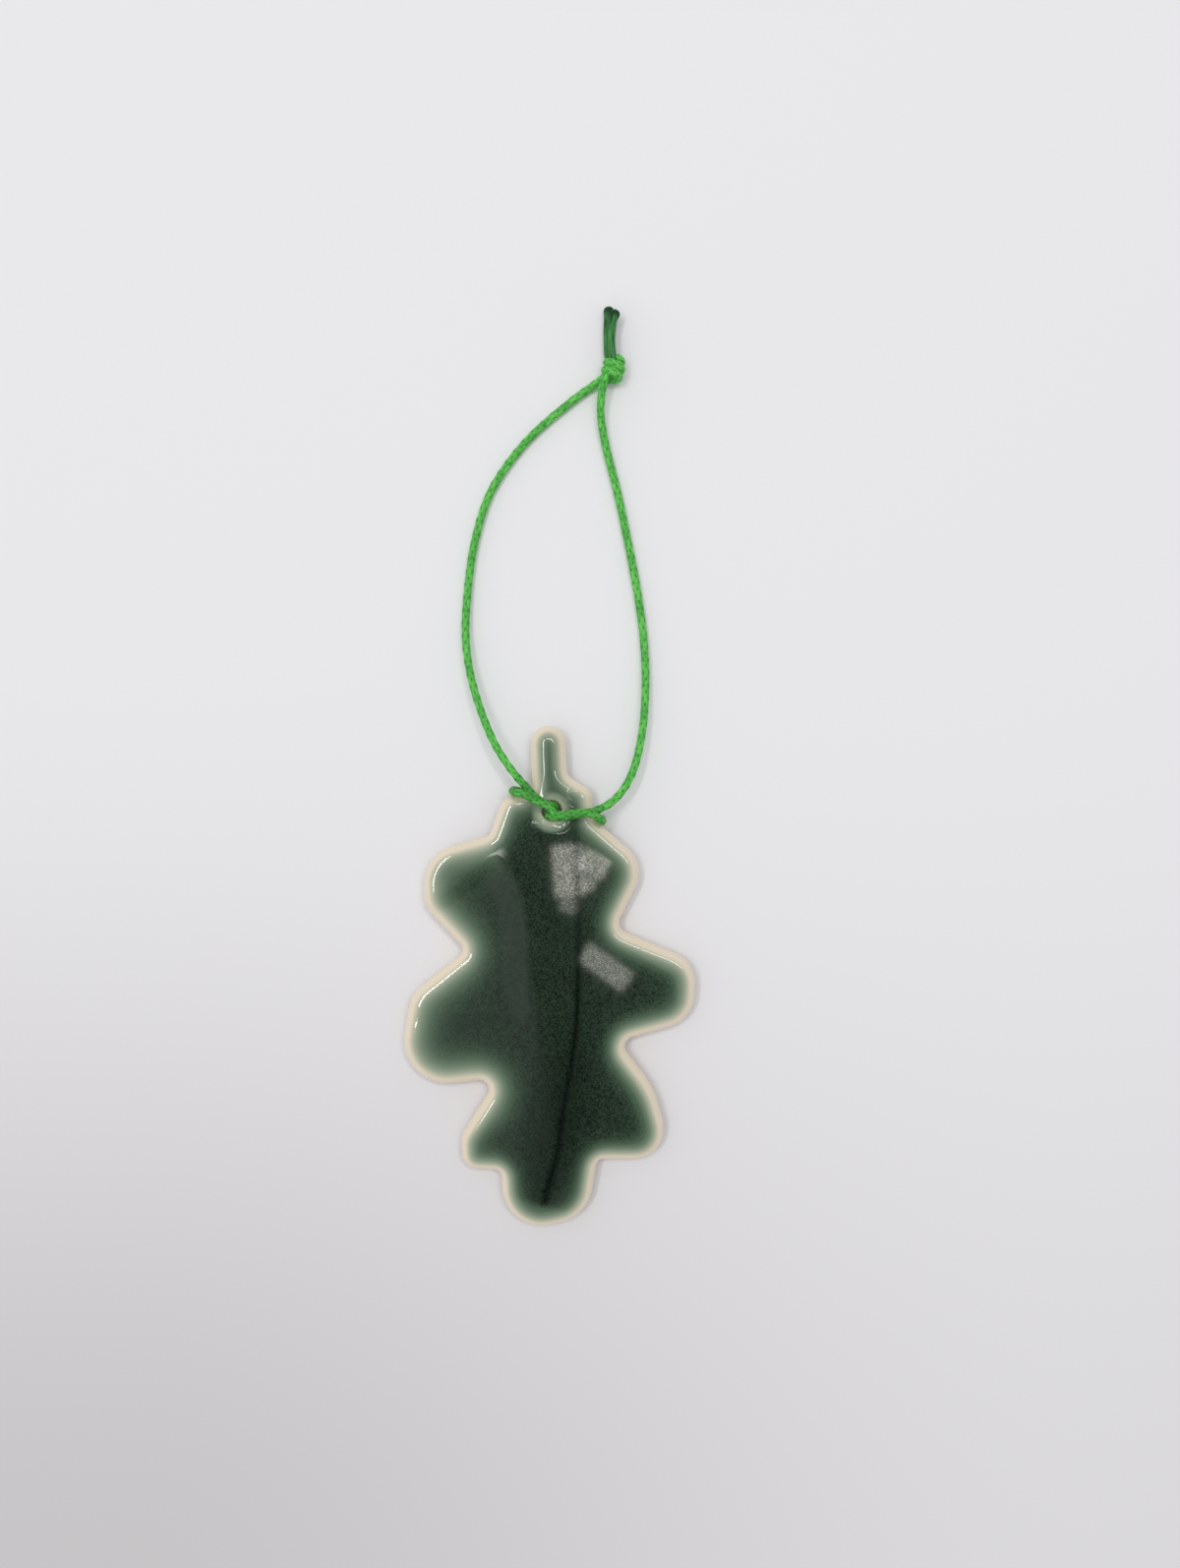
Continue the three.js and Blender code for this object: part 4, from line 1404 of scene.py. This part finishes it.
@dataclass
class Studio:
    """The table, the soft light on it and the plain room round it."""

    reach: float = 1.5
    pale: Colour = paint(236, 235, 238)
    shaded: Colour = paint(206, 203, 205)
    shaded_from: Place = (0.1, 0.06, 0.0)
    shaded_fully: Place = (-0.08, -0.11, 0.0)
    shaded_everywhere: float = 0.35
    fleck_scale: float = 900.0
    fleck_depth: float = 0.00005
    room_glow: float = 0.57
    seen_glow: float = 0.86
    room_tint: Colour = (0.985, 0.99, 1.0)
    dark_middle: tuple[float, float] = (0.03, -0.17)
    dark_reach: tuple[float, float] = (0.15, 0.32)
    dark_edge: Span = (0.8, 1.5)
    dark_share: float = 0.96
    paler_side: Span = (-0.098, -0.082)
    paler_slant: float = 0.233
    paler_dark: float = 0.4
    left_side: Span = (-0.3, 0.02)
    left_glow: Span = (1.3, 0.97)
    lights: tuple[SoftLight, ...] = (
        SoftLight("window_left", (-0.37, 0.13, 0.92), 0.55, 0.1, 15.0, tint=(1.0, 0.99, 0.97)),
        SoftLight("window_far", (0.02, 0.38, 0.92), 0.44, 0.1, 9.0),
        SoftLight("window_right", (0.3, 0.27, 0.91), 0.45, 0.09, 13.0),
        SkyPanel("sky_main", (-0.022, -0.087, 1.0), 0.03, 0.052, 9.0, 19),
        SkyPanel("sky_spur", (0.0035, -0.08, 1.0), 0.03, 0.022, 9.0, -30),
        SkyPanel("sky_side", (-0.001, -0.1, 1.0), 0.012, 0.014, 7.5, -30),
        SkyPanel("sky_tip", (-0.021, -0.122, 1.0), 0.018, 0.014, 5.0, -6),
        SkyPanel("sky_lower", (0.0155, -0.184, 1.0), 0.054, 0.022, 6.5, -40),
        SkyPanel("sky_left", (-0.094, -0.07, 1.0), 0.014, 0.014, 7.0, 30),
    )

    def build(self) -> None:
        """Builds the table, the lights and the room."""
        self.table()
        for light in self.lights:
            light.build()
        self.room()
        bpy.context.scene.view_settings.view_transform = "Standard"

    def table(self) -> None:
        """Makes the table top, with painted shade that darkens it a little towards its near left corner."""
        bm = bmesh.new()
        bmesh.ops.create_grid(bm, x_segments=4, y_segments=4, size=self.reach)
        table = new_piece("table", bm)
        material = bpy.data.materials.new("pale_table")
        material.use_nodes = True
        wiring = Wiring(material.node_tree)
        place = wiring.place()
        parts = wiring.node("ShaderNodeSeparateXYZ", {0: place}).outputs
        left, near = (wiring.remap(parts[axis], (self.shaded_fully[axis], self.shaded_from[axis]), 1.0, 0.0)
                      for axis in (0, 1))
        some = wiring.maths("MULTIPLY_ADD", left, 1 - self.shaded_everywhere, self.shaded_everywhere)
        colour = wiring.mix(wiring.maths("MULTIPLY", near, some), self.pale, self.shaded)
        fleck = wiring.noise(place, self.fleck_scale, 2.0)
        wiring.surface(colour, 0.9, (0.15, self.fleck_depth, fleck), gloss=0.15)
        table.data.materials.append(material)
        LOG.info("table: %.1f m across", 2 * self.reach)

    def room(self) -> None:
        """Makes the room: pale all round, and dark straight above the table."""
        world = bpy.data.worlds.new("room")
        world.use_nodes = True
        bpy.context.scene.world = world
        wiring = Wiring(world.node_tree)
        way = wiring.node("ShaderNodeTexCoord").outputs["Generated"]
        parts = wiring.node("ShaderNodeSeparateXYZ", {0: way}).outputs
        across, along = (wiring.maths("DIVIDE", wiring.maths("SUBTRACT", part, middle), reach)
                         for part, middle, reach in zip(parts, self.dark_middle, self.dark_reach))
        square = wiring.maths("MULTIPLY_ADD", across, across, wiring.maths("MULTIPLY", along, along))
        overhead = wiring.remap(square, self.dark_edge, 1.0, 0.0)
        slant = wiring.maths("MULTIPLY_ADD", parts[1], self.paler_slant, parts[0])
        overhead = wiring.maths("MULTIPLY", overhead, wiring.remap(slant, self.paler_side, self.paler_dark))
        leftward = wiring.remap(parts[0], self.left_side, *self.left_glow)
        glow = wiring.maths("MULTIPLY", leftward, self.room_glow)
        light = wiring.maths("SUBTRACT", 1.0, wiring.maths("MULTIPLY", overhead, self.dark_share))
        lit = wiring.maths("MULTIPLY", light, glow)
        is_camera = wiring.node("ShaderNodeLightPath").outputs["Is Camera Ray"]
        inputs = {0: is_camera, 2: lit, 3: self.seen_glow}
        strength = wiring.node("ShaderNodeMix", inputs, data_type="FLOAT").outputs[0]
        background = wiring.node("ShaderNodeBackground", {0: (*self.room_tint, 1), 1: strength})
        wiring.node("ShaderNodeOutputWorld", {0: background.outputs[0]})


def main() -> None:
    """Builds the ornament and its stage, and writes how large they are."""
    logging.basicConfig(level=logging.INFO, format="%(name)s: %(message)s")
    Camera().build()
    Cord().build()
    Knot().build()
    for name, points in TAILS.items():
        Tail(name, points).build()
    LeafPlate().build()
    Studio().build()


if __name__ == "__main__":
    main()
